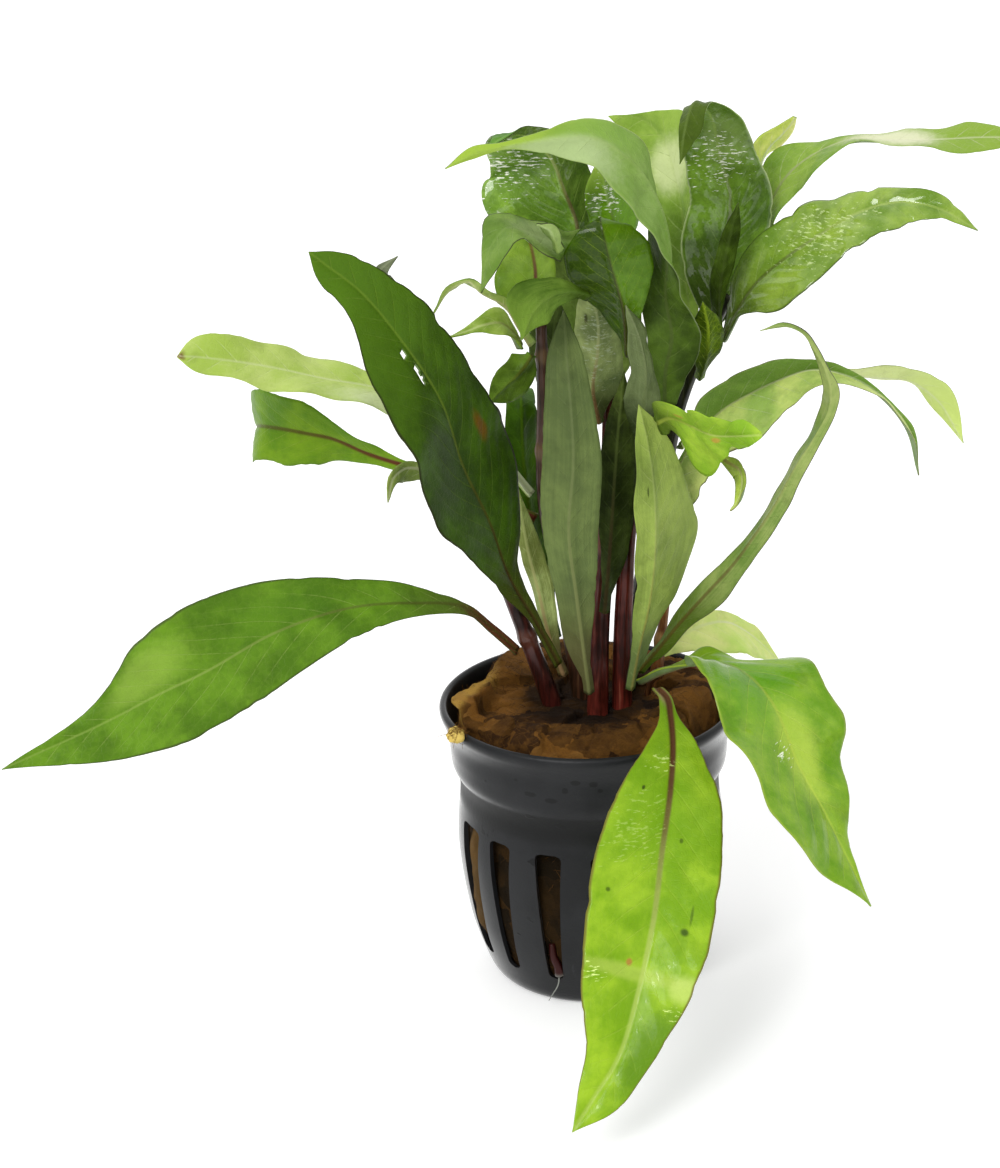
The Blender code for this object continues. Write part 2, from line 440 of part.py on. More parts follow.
def build_pot(surface):
    profile = [(0, 0)] + POT_OUTSIDE + POT_INSIDE + [(0, FLOOR)]
    pot = add_object("net_pot", turned(profile, POT_SEGMENTS), surface)
    slots = bmesh.new()
    for k in range(SLOTS):
        wide = k == WIDE_SLOT
        turn = math.radians(FIRST_SLOT + 360 / SLOTS * k + (WIDE_TURN if wide else 0))
        one = slot_cutter(turn, WIDENING if wide else 1)
        piece = bpy.data.meshes.new("slot")
        one.to_mesh(piece)
        slots.from_mesh(piece)
        one.free()
    for k in range(DRAINS):
        turn = 2 * math.pi * (k + 0.5) / DRAINS
        place = (Matrix.Rotation(turn, 4, "Z") @ Matrix.Translation((0, -DRAIN_RADIUS * MM, 0))
                 @ Matrix.Diagonal((DRAIN_WIDTH * MM, DRAIN_LENGTH * MM, 4 * FLOOR * MM, 1)))
        bmesh.ops.create_cube(slots, size=1, matrix=place)
    cut(pot, cutter("pot_slots", slots, surface))
    return pot


def wool_shape(radius, height, turn):
    """Uneven wool: lumps on the dome, and the edge drawn in from the pot at the left and the right."""
    torn = sum(depth * max(0, math.cos(turn - math.radians(middle))) ** sharp
               for middle, sharp, depth in WOOL_GAPS)
    if height >= 44:
        radius -= torn * min(1, radius / 22)
        height += 0.7 * math.sin(3 * turn + radius) + 0.4 * math.sin(7 * turn)
        height += WOOL_BLOCK[1] * max(0, math.cos(turn - math.radians(WOOL_BLOCK[0]))) ** 12 * radius / 22
    return radius, height


def build_wool(surface):
    profile = [(0, FLOOR + GAP)] + WOOL_SIDE + WOOL_DOME + [(0, WOOL_TOP)]
    wool = add_object("rock_wool", turned(profile, WOOL_SEGMENTS, wool_shape), surface)
    wells = bmesh.new()
    for name, (route, foot, tip) in STEMS.items():
        start, next_point = Vector(route[0]), Vector(route[1])
        run = (next_point - start).normalized()
        low, high = start - run * GAP, start + run * 2 * (WOOL_TOP - start.z)
        points = np.array([low, (low + high) / 2, high])
        well = loft(round_rings(points, [foot + GAP] * 3, 12))
        piece = bpy.data.meshes.new("well")
        well.to_mesh(piece)
        wells.from_mesh(piece)
        well.free()
    cut(wool, cutter("stem_wells", wells, surface))
    return wool


def build():
    for thing in list(bpy.data.objects):
        bpy.data.objects.remove(thing, do_unlink=True)
    build_pot(material("net_pot", (0.035, 0.037, 0.042), 0.45))
    build_wool(material("rock_wool", (0.28, 0.15, 0.05), 0.95))
    for name in STEMS:
        build_stem(name)
    for name in LEAVES:
        build_leaf(name)


build()
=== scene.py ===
"""Potted hygrophila in its net pot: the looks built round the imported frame.

Lengths in the sections below are in millimetres and degrees, as on the bench; meshes are made in
metres. The leaves face up from their upper side, and "left" is the half on the left of a leaf seen
from above with its tip pointing away.
"""
import math

import bmesh
import bpy
import numpy as np
from mathutils import Matrix, Vector


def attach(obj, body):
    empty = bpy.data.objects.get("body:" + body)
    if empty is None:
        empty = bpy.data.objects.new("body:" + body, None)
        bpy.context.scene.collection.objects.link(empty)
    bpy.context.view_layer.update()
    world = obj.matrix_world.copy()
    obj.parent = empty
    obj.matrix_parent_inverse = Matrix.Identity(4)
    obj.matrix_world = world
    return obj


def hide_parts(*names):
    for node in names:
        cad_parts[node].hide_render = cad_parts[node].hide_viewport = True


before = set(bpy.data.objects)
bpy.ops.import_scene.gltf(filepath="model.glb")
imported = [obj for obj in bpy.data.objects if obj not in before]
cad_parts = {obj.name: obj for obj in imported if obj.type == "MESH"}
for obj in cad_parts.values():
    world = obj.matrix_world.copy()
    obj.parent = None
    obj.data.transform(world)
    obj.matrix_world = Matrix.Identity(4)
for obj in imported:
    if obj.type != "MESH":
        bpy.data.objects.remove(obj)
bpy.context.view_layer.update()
MM = 0.001

# Net pot. One thin-walled moulding in charcoal polypropylene, with a rolled lip, a waist under it
# and fifteen tapering slots for the roots. The skin has a fine mould grain, scuffs and a few
# pinholes, and it shines a little more where it turns away. The inside wall is painted nearly
# black, as painted shade.


class Wire:
    """A socket in a material. Sums on wires add Math nodes, and node() adds any other kind."""

    def __init__(self, tree, socket=None):
        self.tree, self.socket = tree, socket

    def node(self, kind, settings=None, values=None, output=0):
        made = self.tree.nodes.new("ShaderNode" + kind)
        for key, value in (settings or {}).items():
            if key == "stops":
                ramp = made.color_ramp
                while len(ramp.elements) < len(value):
                    ramp.elements.new(1.0)
                for element, (place, colour) in zip(ramp.elements, value):
                    element.position = place
                    element.color = (*colour, 1)
            else:
                setattr(made, key, value)
        for key, value in (values or {}).items():
            if isinstance(value, Wire):
                self.tree.links.new(value.socket, made.inputs[key])
            else:
                made.inputs[key].default_value = value
        return Wire(self.tree, made.outputs[output])

    def maths(self, operation, a, b=0.0):
        return self.node("Math", {"operation": operation}, {0: a, 1: b})

    def __add__(self, other):
        return self.maths("ADD", self, other)

    def __sub__(self, other):
        return self.maths("SUBTRACT", self, other)

    def __rsub__(self, other):
        return self.maths("SUBTRACT", other, self)

    def __mul__(self, other):
        return self.maths("MULTIPLY", self, other)

    def __pow__(self, other):
        return self.maths("POWER", self, other)

    __radd__ = __add__
    __rmul__ = __mul__

    def size(self):
        return self.maths("ABSOLUTE", self)

    def rise(self, low, high):
        """0 below low, 1 above high and smooth between them; falls instead where low > high."""
        return self.node("MapRange", {"interpolation_type": "SMOOTHSTEP"},
                         {"Value": self, "From Min": low, "From Max": high})

    def blend(self, under, over):
        """The colour under, covered by the colour over as far as this mask says."""
        under, over = [(*c, 1) if isinstance(c, tuple) else c for c in (under, over)]
        return self.node("Mix", {"data_type": "RGBA"}, {0: self, 6: under, 7: over}, 2)

    def noise(self, scale, detail=3.0, rough=0.55, output=0):
        """Cloudy variation at this wire's coordinates, in steps of 1/scale metres."""
        return self.node("TexNoise", None, {"Vector": self, "Scale": scale, "Detail": detail,
                                            "Roughness": rough}, output)

    def stretched(self, *factors):
        return self.node("VectorMath", {"operation": "MULTIPLY"}, {0: self, 1: factors})


def rgb(code, light=0.82):
    """A paint-chart colour such as 7db31c, as linear values that look like the chart when lit."""
    parts = [int(code[k:k + 2], 16) / 255 for k in (0, 2, 4)]
    return tuple(light * (p / 12.92 if p < 0.04045 else ((p + 0.055) / 1.055) ** 2.4) for p in parts)


def surface(name, **fixed):
    """A new material: its empty node tree as a wire, and a function that fills in its shader."""
    material = bpy.data.materials.new(name)
    material.use_nodes = True
    tree = material.node_tree
    shader = tree.nodes["Principled BSDF"]

    def dress(**sockets):
        for key, value in {**fixed, **sockets}.items():
            place = shader.inputs[key.replace("_", " ")]
            if isinstance(value, Wire):
                tree.links.new(value.socket, place)
            else:
                place.default_value = (*value, 1) if isinstance(value, tuple) else value
        return Wire(tree, shader.outputs[0])

    return material, Wire(tree), dress


def add_piece(name, mesh, materials, slot, *nodes):
    """Puts a mesh in the scene as a piece that rides on the plant and stands for these nodes."""
    piece = bpy.data.objects.new(name, mesh)
    bpy.context.scene.collection.objects.link(piece)
    for material in materials:
        mesh.materials.append(material)
    mesh.shade_smooth()
    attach(piece, "root")
    if nodes:
        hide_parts(*nodes)
    return piece


def eased(stations, count):
    """Rows spaced evenly along a smooth curve through the stations; every column is eased alike."""
    rows = np.array(stations, float)
    steps = np.linalg.norm(np.diff(rows[:, :3], axis=0), axis=1)
    knots = np.concatenate(([0.0], np.cumsum(steps)))
    slopes = np.gradient(rows, knots, axis=0)
    places = np.linspace(0, knots[-1], count)
    spans = np.clip(np.searchsorted(knots, places, side="right") - 1, 0, len(steps) - 1)
    length = steps[spans][:, None]
    u = (places - knots[spans])[:, None] / length
    return ((2 * u**3 - 3 * u**2 + 1) * rows[spans] + (u**3 - 2 * u**2 + u) * length * slopes[spans]
            + (3 * u**2 - 2 * u**3) * rows[spans + 1] + (u**3 - u**2) * length * slopes[spans + 1])


POT_HEIGHT = 51.0
FLOOR_RADIUS, FLOOR_TOP = 17.0, 1.4
OUTSIDE = [(16.6, 0.0), (17.3, 0.15), (18.1, 0.8), (18.8, 2.0), (19.5, 3.8), (20.4, 6.4), (21.7, 11.0),
           (22.5, 15.5), (23.1, 20.0), (23.5, 26.5), (23.3, 30.5), (22.9, 34.0), (22.85, 36.5),
           (23.3, 38.4),
           (24.0, 40.0), (24.35, 43.0), (24.6, 46.5), (25.3, 48.3), (25.85, 49.4), (26.0, 50.2),
           (25.7, 50.85), (25.2, POT_HEIGHT), (24.8, 50.8), (24.5, 50.0)]
INSIDE = [(24.5, 50.0), (24.1, 48.0), (23.6, 45.0), (23.2, 40.5), (22.3, 38.4), (21.9, 36.4),
          (22.0, 33.5), (22.5, 30.0), (22.6, 26.5), (22.1, 20.0), (20.8, 11.0), (19.2, 5.0), (17.9, 2.2),
          (FLOOR_RADIUS, FLOOR_TOP)]
OUTSIDE_ROWS, INSIDE_ROWS = 260, 200
SLOTS, FIRST_SLOT = 15, 3.5
# One slot is wider than its neighbours: its number, turn and factor.
WIDE_SLOT, WIDE_TURN, WIDENING = 12, 2.5, 1.35
SLOT_FOOT, SLOT_HEAD = 6.0, 31.5
SLOT_FOOT_WIDTH, SLOT_HEAD_WIDTH, SLOT_ROUND = 2.6, 4.8, 1.1
PLAIN_BELOW, PLAIN_ABOVE = SLOT_FOOT - 0.4, SLOT_HEAD + 0.5
SLOT_LEVELS = np.concatenate((np.linspace(SLOT_FOOT, SLOT_FOOT + SLOT_ROUND, 5),
                              np.linspace(SLOT_FOOT + 2, SLOT_HEAD - 2, 22),
                              np.linspace(SLOT_HEAD - SLOT_ROUND, SLOT_HEAD, 5)))
# Pinholes and smudges on the front: how far to the right and how high, half their width and height.
POT_MARKS = ((-13.1, 45.4, 0.35, 0.3), (-10.8, 43.2, 1.1, 0.5), (-7.3, 42.5, 1.2, 0.5),
             (-5.0, 44.6, 0.6, 0.6),
             (-3.2, 46.2, 0.9, 0.5), (-0.2, 45.9, 0.8, 0.6), (0.9, 44.6, 0.5, 0.4), (-16.8, 38.8, 0.5, 1.0),
             (-14.0, 36.0, 0.4, 0.7))
DRAIN_RADIUS, DRAIN_WIDTH, DRAIN_LENGTH, DRAINS = 12.0, 2.4, 6.0, 5
DRAIN_CUT = 6
SHARP_FROM = 38


def half_slot(z):
    """Half the slot's width at a height, with its ends rounded."""
    z = min(max(z, SLOT_FOOT), SLOT_HEAD)
    half = np.interp(z, (SLOT_FOOT, SLOT_HEAD), (SLOT_FOOT_WIDTH / 2, SLOT_HEAD_WIDTH / 2))
    near = min(z - SLOT_FOOT, SLOT_HEAD - z, SLOT_ROUND)
    return half - SLOT_ROUND + math.sqrt(max(0, SLOT_ROUND**2 - (SLOT_ROUND - near) ** 2))


def pot_mesh():
    """Rows of points up the outside, over the lip and down the inside, open at the slots."""
    outer = eased([(r, 0, z) for r, z in OUTSIDE], OUTSIDE_ROWS)[:, (0, 2)]
    lip = int(np.argmax(outer[:, 1]))
    inner = eased([(r, 0, z) for r, z in INSIDE], INSIDE_ROWS)[:, (0, 2)]

    def at_levels(line, levels):
        order = np.argsort(line[:, 1])
        return [(float(np.interp(z, line[order, 1], line[order, 0])), float(z)) for z in levels]

    foot = [tuple(p) for p in outer if p[1] < PLAIN_BELOW][::3]
    above = [tuple(p) for p in outer[:lip + 1] if p[1] > PLAIN_ABOVE][::2]
    over = [tuple(p) for p in outer[lip + 1:]][::2]
    down = [tuple(p) for p in inner if p[1] > PLAIN_ABOVE][1::2]
    floor = [tuple(p) for p in inner if p[1] < PLAIN_BELOW][::3] + [(FLOOR_RADIUS, FLOOR_TOP)]
    rows = (foot + at_levels(outer[:lip + 1], SLOT_LEVELS) + above + over + down
            + at_levels(inner, SLOT_LEVELS[::-1]) + floor)
    starts = len(foot), len(foot) + len(SLOT_LEVELS) - 1
    back = len(foot) + len(SLOT_LEVELS) + len(above) + len(over) + len(down)
    open_rows = set(range(starts[0], starts[1])) | set(range(back, back + len(SLOT_LEVELS) - 1))
    in_slot, between = 4, 9
    per = in_slot + between
    bm = bmesh.new()
    grid = []
    for r, z in rows:
        ring = []
        middles = [math.radians(FIRST_SLOT + 360 / SLOTS * k + WIDE_TURN * (k == WIDE_SLOT))
                   for k in range(SLOTS + 1)]
        halves = [half_slot(z) / r * (WIDENING if k == WIDE_SLOT else 1) for k in range(SLOTS + 1)]
        for k in range(SLOTS):
            middle, half = middles[k], halves[k]
            gap = middles[k + 1] - halves[k + 1] - middle - half
            turns = [middle - half + 2 * half * j / in_slot for j in range(in_slot)]
            turns += [middle + half + gap * j / between for j in range(between)]
            ring += [bm.verts.new((r * MM * math.sin(a), -r * MM * math.cos(a), z * MM)) for a in turns]
        grid.append(ring)
    count = SLOTS * per
    for i in range(len(grid) - 1):
        for j in range(count):
            if i in open_rows and j % per < in_slot:
                continue
            n = (j + 1) % count
            bm.faces.new((grid[i][j], grid[i][n], grid[i + 1][n], grid[i + 1][j]))
    mirror = {i: back + len(SLOT_LEVELS) - 1 - (i - starts[0]) for i in range(starts[0], starts[1] + 1)}
    for k in range(SLOTS):
        for i in range(starts[0], starts[1]):
            for j in (k * per, k * per + in_slot):
                bm.faces.new((grid[i][j], grid[i + 1][j], grid[mirror[i + 1]][j], grid[mirror[i]][j]))
        for i in starts:
            for j in range(k * per, k * per + in_slot):
                bm.faces.new((grid[i][j], grid[i][j + 1], grid[mirror[i]][j + 1], grid[mirror[i]][j]))
    for row, height in ((grid[0], 0.0), (grid[-1], FLOOR_TOP)):
        middle = bm.verts.new((0, 0, height * MM))
        for j in range(count):
            bm.faces.new((row[j], row[(j + 1) % count], middle))
    bmesh.ops.recalc_face_normals(bm, faces=bm.faces)
    mesh = bpy.data.meshes.new("pot_wall")
    bm.to_mesh(mesh)
    bm.free()
    return mesh


def pot_plastic():
    material, new, dress = surface("pot_plastic", Coat_IOR=1.9, Coat_Roughness=0.2, Specular_IOR_Level=0.22)
    place = new.node("TexCoord", output=3)
    x, y, z = (new.node("SeparateXYZ", None, {0: place}, k) for k in range(3))
    clouds = place.noise(90, 4)
    grain = place.noise(2600, 2)
    scuffs = place.stretched(1, 1, 0.35).noise(420, 5, 0.7).rise(0.62, 0.74)
    smears = (place.stretched(0.8, 0.8, 1.2).noise(330, 2).rise(0.66, 0.70)
              * place.noise(60, 1).rise(0.45, 0.55))
    marks = 0.0
    for mark_x, mark_z, wide, tall in POT_MARKS:
        off = (((x - mark_x * MM) * (1 / wide / MM)) ** 2.0
               + ((z - mark_z * MM) * (1 / tall / MM)) ** 2.0)
        marks = (off + place.noise(1500, 3) * 1.4 - 0.7).rise(1.1, 0.5) + marks
    marks = marks * y.rise(-0.010, -0.012)
    # The inside wall is painted nearly black as painted shade, and its coat is taken off there too.
    inside = ((x * x + y * y) ** 0.5 - z * 0.09).rise(0.0201, 0.0198) * z.rise(0.030, 0.036)
    colour = clouds.rise(0.35, 0.65).blend(rgb("17181a"), rgb("212224"))
    colour = (scuffs * 0.25).blend(colour, rgb("3a3c40"))
    colour = (smears * 0.85).blend(colour, rgb("08090a"))
    colour = (marks * 0.9).blend(colour, rgb("0b0c0d"))
    colour = (inside * 0.9).blend(colour, rgb("060707"))
    height = grain * 0.5 + scuffs * -0.2 + smears * 0.6
    bump = new.node("Bump", None, {"Strength": 0.25, "Distance": 0.0002, "Height": height})
    turning = new.node("LayerWeight", None, {"Blend": 0.5}, 1).rise(0.45, 0.95)
    dress(Base_Color=colour, Roughness=clouds * 0.12 + grain * 0.1 + 0.34, Normal=bump,
          Coat_Weight=(1 - inside) * turning)
    return material


pot = add_piece("pot_wall", pot_mesh(), [pot_plastic()], "pot_plastic", "net_pot")
drains = bmesh.new()
for k in range(DRAINS):
    place = (Matrix.Rotation(2 * math.pi * (k + 0.5) / DRAINS, 4, "Z")
             @ Matrix.Translation((0, -DRAIN_RADIUS * MM, 0))
             @ Matrix.Diagonal((DRAIN_WIDTH * MM, DRAIN_LENGTH * MM, DRAIN_CUT * MM, 1)))
    bmesh.ops.create_cube(drains, size=1, matrix=place)
drain_mesh = bpy.data.meshes.new("drain_cutter")
drains.to_mesh(drain_mesh)
drains.free()
cutter = bpy.data.objects.new("drain_cutter", drain_mesh)
bpy.context.scene.collection.objects.link(cutter)


def settle(piece, *modifiers):
    """Adds each modifier to a piece and applies it at once."""
    for kind, settings in modifiers:
        modifier = piece.modifiers.new(kind.lower(), kind)
        for key, value in settings.items():
            setattr(modifier, key, value)
    graph = bpy.context.evaluated_depsgraph_get()
    mesh = bpy.data.meshes.new_from_object(piece.evaluated_get(graph))
    piece.modifiers.clear()
    piece.data = mesh


settle(pot, ("BOOLEAN", {"operation": "DIFFERENCE", "solver": "EXACT", "object": cutter}))
bpy.data.objects.remove(cutter)
pot.data.shade_smooth()
pot.data.set_sharp_from_angle(angle=math.radians(SHARP_FROM))

# Rock wool. A round plug of brown mineral fibre, torn off a slab by hand and pressed into the pot,
# so that its top is a patchwork of chunks and it stands away from the wall at the left and the right.
# It is darker round the stems and ochre at the edges, partly dry wool and partly a painted highlight
# where the top edge catches the light. Low down, where it shows through the slots, it is painted
# dark as shade, lighter at the left slot as painted light, and one tuft hangs over the lip.

WOOL_FOOT, WOOL_TOP = 1.7, 52.0
WOOL_SHAPE = [(0, WOOL_FOOT), (17.2, WOOL_FOOT), (20.2, 11.0), (21.3, 20.0), (21.3, 37.0), (22.4, 41.0),
              (23.0, 45.0), (23.2, 48.0), (22.6, 50.2), (20.5, 51.4), (15.0, 51.9), (8.0, WOOL_TOP),
              (0, WOOL_TOP)]
WOOL_TURNS, WOOL_LEVELS = 320, 215
# Above this height the plug is torn, over this much more of its height to the full.
TORN_FROM, TORN_OVER = 43, 7
# Where the plug's edge stands off the wall or leans over the lip: turn, sharpness and distance.
WOOL_GAPS = ((248, 12, 4.2), (64, 14, 3.0))
WOOL_LEAN = (288, 26, 3.6)
LEAN_FROM, LEAN_OVER = 49.5, 1.5
# How the wool swells into the slot at the left: turn, depth, half width, and the share by height.
SWELL_TURN, SWELL_DEPTH, SWELL_WIDTH = math.radians(295.0), 2.0, 0.14
SWELL_HEIGHTS, SWELL_SHARES = (7, 12, 29, 33), (0, 0.75, 1, 0)
# Each chunk's middle, how far it stands up, and its slope to the right and to the back.
WOOL_CHUNKS = np.array([
    (-22, -5, 3.0, -0.10, -0.06), (-12, 13, 1.9, -0.10, 0.12), (-17, -14, 0.9, 0.10, -0.06),
    (-11, -18, 1.1, 0.12, -0.08), (-5, -20, 0.1, 0.05, 0.02), (4, -19, 1.0, 0.04, 0.05),
    (13, -16, 1.3, -0.05, 0.05),
    (20, -6, 2.0, 0.10, 0.05), (19, 7, 1.0, 0.10, 0.00), (9, 17, 0.8, 0.00, 0.10),
    (-5, 18, 2.0, 0.00, 0.10),
    (-10, -8, -0.9, 0.10, 0.00), (3, -12, -1.3, 0.00, -0.10), (11, -4, -1.2, 0.10, 0.00),
    (0, 3, -1.6, 0.00, 0.00), (-9, 4, -1.0, -0.10, 0.10)])
# How wide the slope between two chunks is, and how deep and wide the crack.
CHUNK_SLOPE, CRACK_DEPTH, CRACK_WIDTH = 0.9, 1.0, 0.45
FIBRES, FIBRE_LENGTH, FIBRE_RADIUS = 2400, (1.2, 4.0), (0.02, 0.045)
FIBRE_POINTS, HIGHEST_FIBRE = 7, 54.5
TUFT_PLACE, TUFT_SIZE, TUFT_FIBRES = (-22.8, -13.4, 51.0), (1.7, 1.3, 1.2), 160


def lumps(points, pitch, octaves, seed):
    """Smooth seeded noise between -1 and 1 at points in millimetres."""
    rng = np.random.default_rng(seed)
    total = np.zeros(len(points))
    for octave in range(octaves):
        waves = rng.normal(size=(14, 3)) / pitch * 2**octave
        shifts = rng.uniform(0, 2 * math.pi, 14)
        total += np.cos(points @ waves.T + shifts).sum(axis=1) / 5 / 1.7**octave
    return total


def grid_mesh(name, rows, closed=True):
    """Faces over a grid of points in millimetres, joined round each row when closed."""
    bm = bmesh.new()
    grid = [[bm.verts.new(Vector(p) * MM) for p in row] for row in rows]
    count = len(rows[0])
    for low, high in zip(grid, grid[1:]):
        for k in range(count if closed else count - 1):
            j = (k + 1) % count
            bm.faces.new((low[k], low[j], high[j], high[k]))
    for row, order in ((grid[0], -1), (grid[-1], 1)):
        if closed:
            bm.faces.new(row[::order])
    mesh = bpy.data.meshes.new(name)
    bmesh.ops.recalc_face_normals(bm, faces=bm.faces)
    bm.to_mesh(mesh)
    bm.free()
    return mesh


def chunk_heights(points):
    """How far the torn chunks raise or lower the top at these points, with cracks between them."""
    bent = points[:, None, :2] + lumps(points, 3.0, 2, 8)[:, None, None] * 0.9
    apart = np.linalg.norm(bent - WOOL_CHUNKS[None, :, :2], axis=2)
    order = np.argsort(apart, axis=1)[:, :2]
    own = np.take_along_axis(apart, order, axis=1)
    rise = (WOOL_CHUNKS[None, :, 2]
            + ((points[:, None, :2] - WOOL_CHUNKS[None, :, :2]) * WOOL_CHUNKS[None, :, 3:]).sum(axis=2))
    rise = np.take_along_axis(rise, order, axis=1)
    border = own[:, 1] - own[:, 0]
    between = border.clip(0, CHUNK_SLOPE) / CHUNK_SLOPE
    share = 0.5 + 0.5 * between * between * (3 - 2 * between)
    return (rise[:, 0] * share + rise[:, 1] * (1 - share)
            - CRACK_DEPTH * np.exp(-(border / CRACK_WIDTH) ** 2))


def wool_rows():
    profile = eased([(r, 0, z) for r, z in WOOL_SHAPE[1:]], WOOL_LEVELS)[:-1]
    turns = np.linspace(0, 2 * math.pi, WOOL_TURNS, endpoint=False)
    rows = []
    for radius, _, height in profile:
        points = np.stack((radius * np.sin(turns), -radius * np.cos(turns), np.full(WOOL_TURNS, height)), 1)
        top = min(1, max(0, (height - TORN_FROM) / TORN_OVER))
        out = points / np.maximum(np.linalg.norm(points * (1, 1, 0), axis=1, keepdims=True), 1)
        out[:, 2] = 0
        torn = sum(depth * np.maximum(0, np.cos(turns - math.radians(turn))) ** sharp
                   for turn, sharp, depth in WOOL_GAPS)
        lean = (WOOL_LEAN[2] * np.maximum(0, np.cos(turns - math.radians(WOOL_LEAN[0]))) ** WOOL_LEAN[1]
                * min(1, max(0, (height - LEAN_FROM) / LEAN_OVER)))
        step = np.round(lumps(points, 5.0, 2, 3) * 2.2) / 2.2
        swell = (SWELL_DEPTH * np.exp(-(np.sin(turns - SWELL_TURN) / SWELL_WIDTH) ** 2)
                 * (np.cos(turns - SWELL_TURN) > 0) * np.interp(height, SWELL_HEIGHTS, SWELL_SHARES))
        rough = lumps(points, 2.0, 3, 4)
        move = (0.3 * step.clip(-1, 0.5) + 0.18 * rough.clip(-2, 1) + lean + swell
                - torn * top * min(1, radius / 22))[:, None] * out
        move[:, 2] = top * (chunk_heights(points) + 0.3 * rough + 0.16 * lumps(points, 0.8, 2, 5))
        rows.append(points + move)
    return rows


wool_mesh = grid_mesh("wool_plug", wool_rows())


def wool_skin():
    material, new, dress = surface("wool", Specular_IOR_Level=0.12)
    place = new.node("TexCoord", output=3)
    x, y, z = (new.node("SeparateXYZ", None, {0: place}, k) for k in range(3))
    reach = (x * x + (y + 0.001) * (y + 0.001)) ** 0.5 + place.noise(160, 3) * 0.008 - 0.004
    chunks = place.noise(150, 4, 0.6)
    bent = place.node("VectorMath", {"operation": "ADD"},
                      {0: place, 1: place.noise(260, 2, 0.5, 1).stretched(0.005, 0.005, 0.005)})
    flakes = bent.node("TexVoronoi", None, {"Vector": bent, "Scale": 210.0}, 1)
    torn = bent.node("SeparateXYZ", None, {0: flakes})
    threads = place.node("TexNoise", None, {"Vector": place.stretched(1, 1, 2.2), "Scale": 1700.0,
                                            "Detail": 5.0, "Roughness": 0.75, "Distortion": 2.0})
    colour = (chunks * 0.6 + torn * 0.4).rise(0.30, 0.62).blend(rgb("452b12"), rgb("8c5f26"))
    colour = (torn.rise(0.55, 0.95) * 0.35).blend(colour, rgb("a8702c"))
    colour = (place.noise(330, 3).rise(0.56, 0.70) * 0.4).blend(colour, rgb("9a6a2e"))
    # A ridge along the left of the top edge, painted pale ochre: partly dry wool, partly a painted
    # highlight where the edge catches the light.
    lit_ridge = (y * 0.446 - x * 0.895).rise(0.0148, 0.0164) * x.rise(-0.0145, -0.0180)
    dry = lit_ridge * z.rise(0.0480, 0.0515)
    colour = (dry * 0.9).blend(colour, rgb("e0b050"))
    # The top's outer rim, paler ochre: partly dry wool, partly a painted highlight.
    dry_lit_lip = reach.rise(0.0212, 0.0228) * z.rise(0.0490, 0.0510) * torn.rise(0.5, 0.9)
    colour = (dry_lit_lip * 0.5).blend(colour, rgb("c08c48"))
    colour = (threads.rise(0.5, 0.7) * 0.55).blend(colour, rgb("2c1a0a"))
    colour = (threads.rise(0.42, 0.28) * 0.35).blend(colour, rgb("b98844"))
    colour = (reach.rise(0.0145, 0.0085) * z.rise(0.044, 0.047) * 0.85).blend(colour, rgb("1a0f07"))
    # Low in the pot, where it shows through the slots, the wool is painted dark as shade, and lighter at
    # the left slot as painted light.
    lit_at_left = x.rise(-0.0165, -0.0215)
    low = z.rise(0.040, 0.034)
    colour = (low * 0.8).blend(colour, lit_at_left.blend(rgb("1e1a0c"), rgb("7e6238")))
    height = threads * 1.2 + chunks * 0.5 + place.noise(400, 3, 0.65) * 0.9
    bump = new.node("Bump", None, {"Strength": 1.0, "Distance": 0.0007, "Height": height})
    dress(Base_Color=colour, Roughness=threads * 0.2 + 0.78, Normal=bump)
    return material


def strand(points, radii, sides=3):
    """Closed rings of points round a path, for a thread or a stem."""
    run = np.gradient(points, axis=0)
    run /= np.linalg.norm(run, axis=1, keepdims=True)
    aside = np.cross(run, (0.13, 0.92, 0.36))
    aside /= np.linalg.norm(aside, axis=1, keepdims=True)
    other = np.cross(aside, run)
    turns = np.linspace(0, 2 * math.pi, sides, endpoint=False)
    return [[p + r * (math.cos(a) * u + math.sin(a) * v) for a in turns]
            for p, r, u, v in zip(points, radii, aside, other)]


def strands_mesh(name, bundles):
    """One mesh of many strands, each given as its rings."""
    corners, faces = [], []
    for rings in bundles:
        sides, first = len(rings[0]), len(corners)
        corners += [p for ring in rings for p in ring]
        for i in range(len(rings) - 1):
            low = first + i * sides
            faces += [(low + k, low + (k + 1) % sides, low + sides + (k + 1) % sides, low + sides + k)
                      for k in range(sides)]
        faces.append(tuple(range(first, first + sides))[::-1])
        faces.append(tuple(range(len(corners) - sides, len(corners))))
    mesh = bpy.data.meshes.new(name)
    mesh.from_pydata([tuple(np.asarray(p) * MM) for p in corners], [], faces)
    return mesh


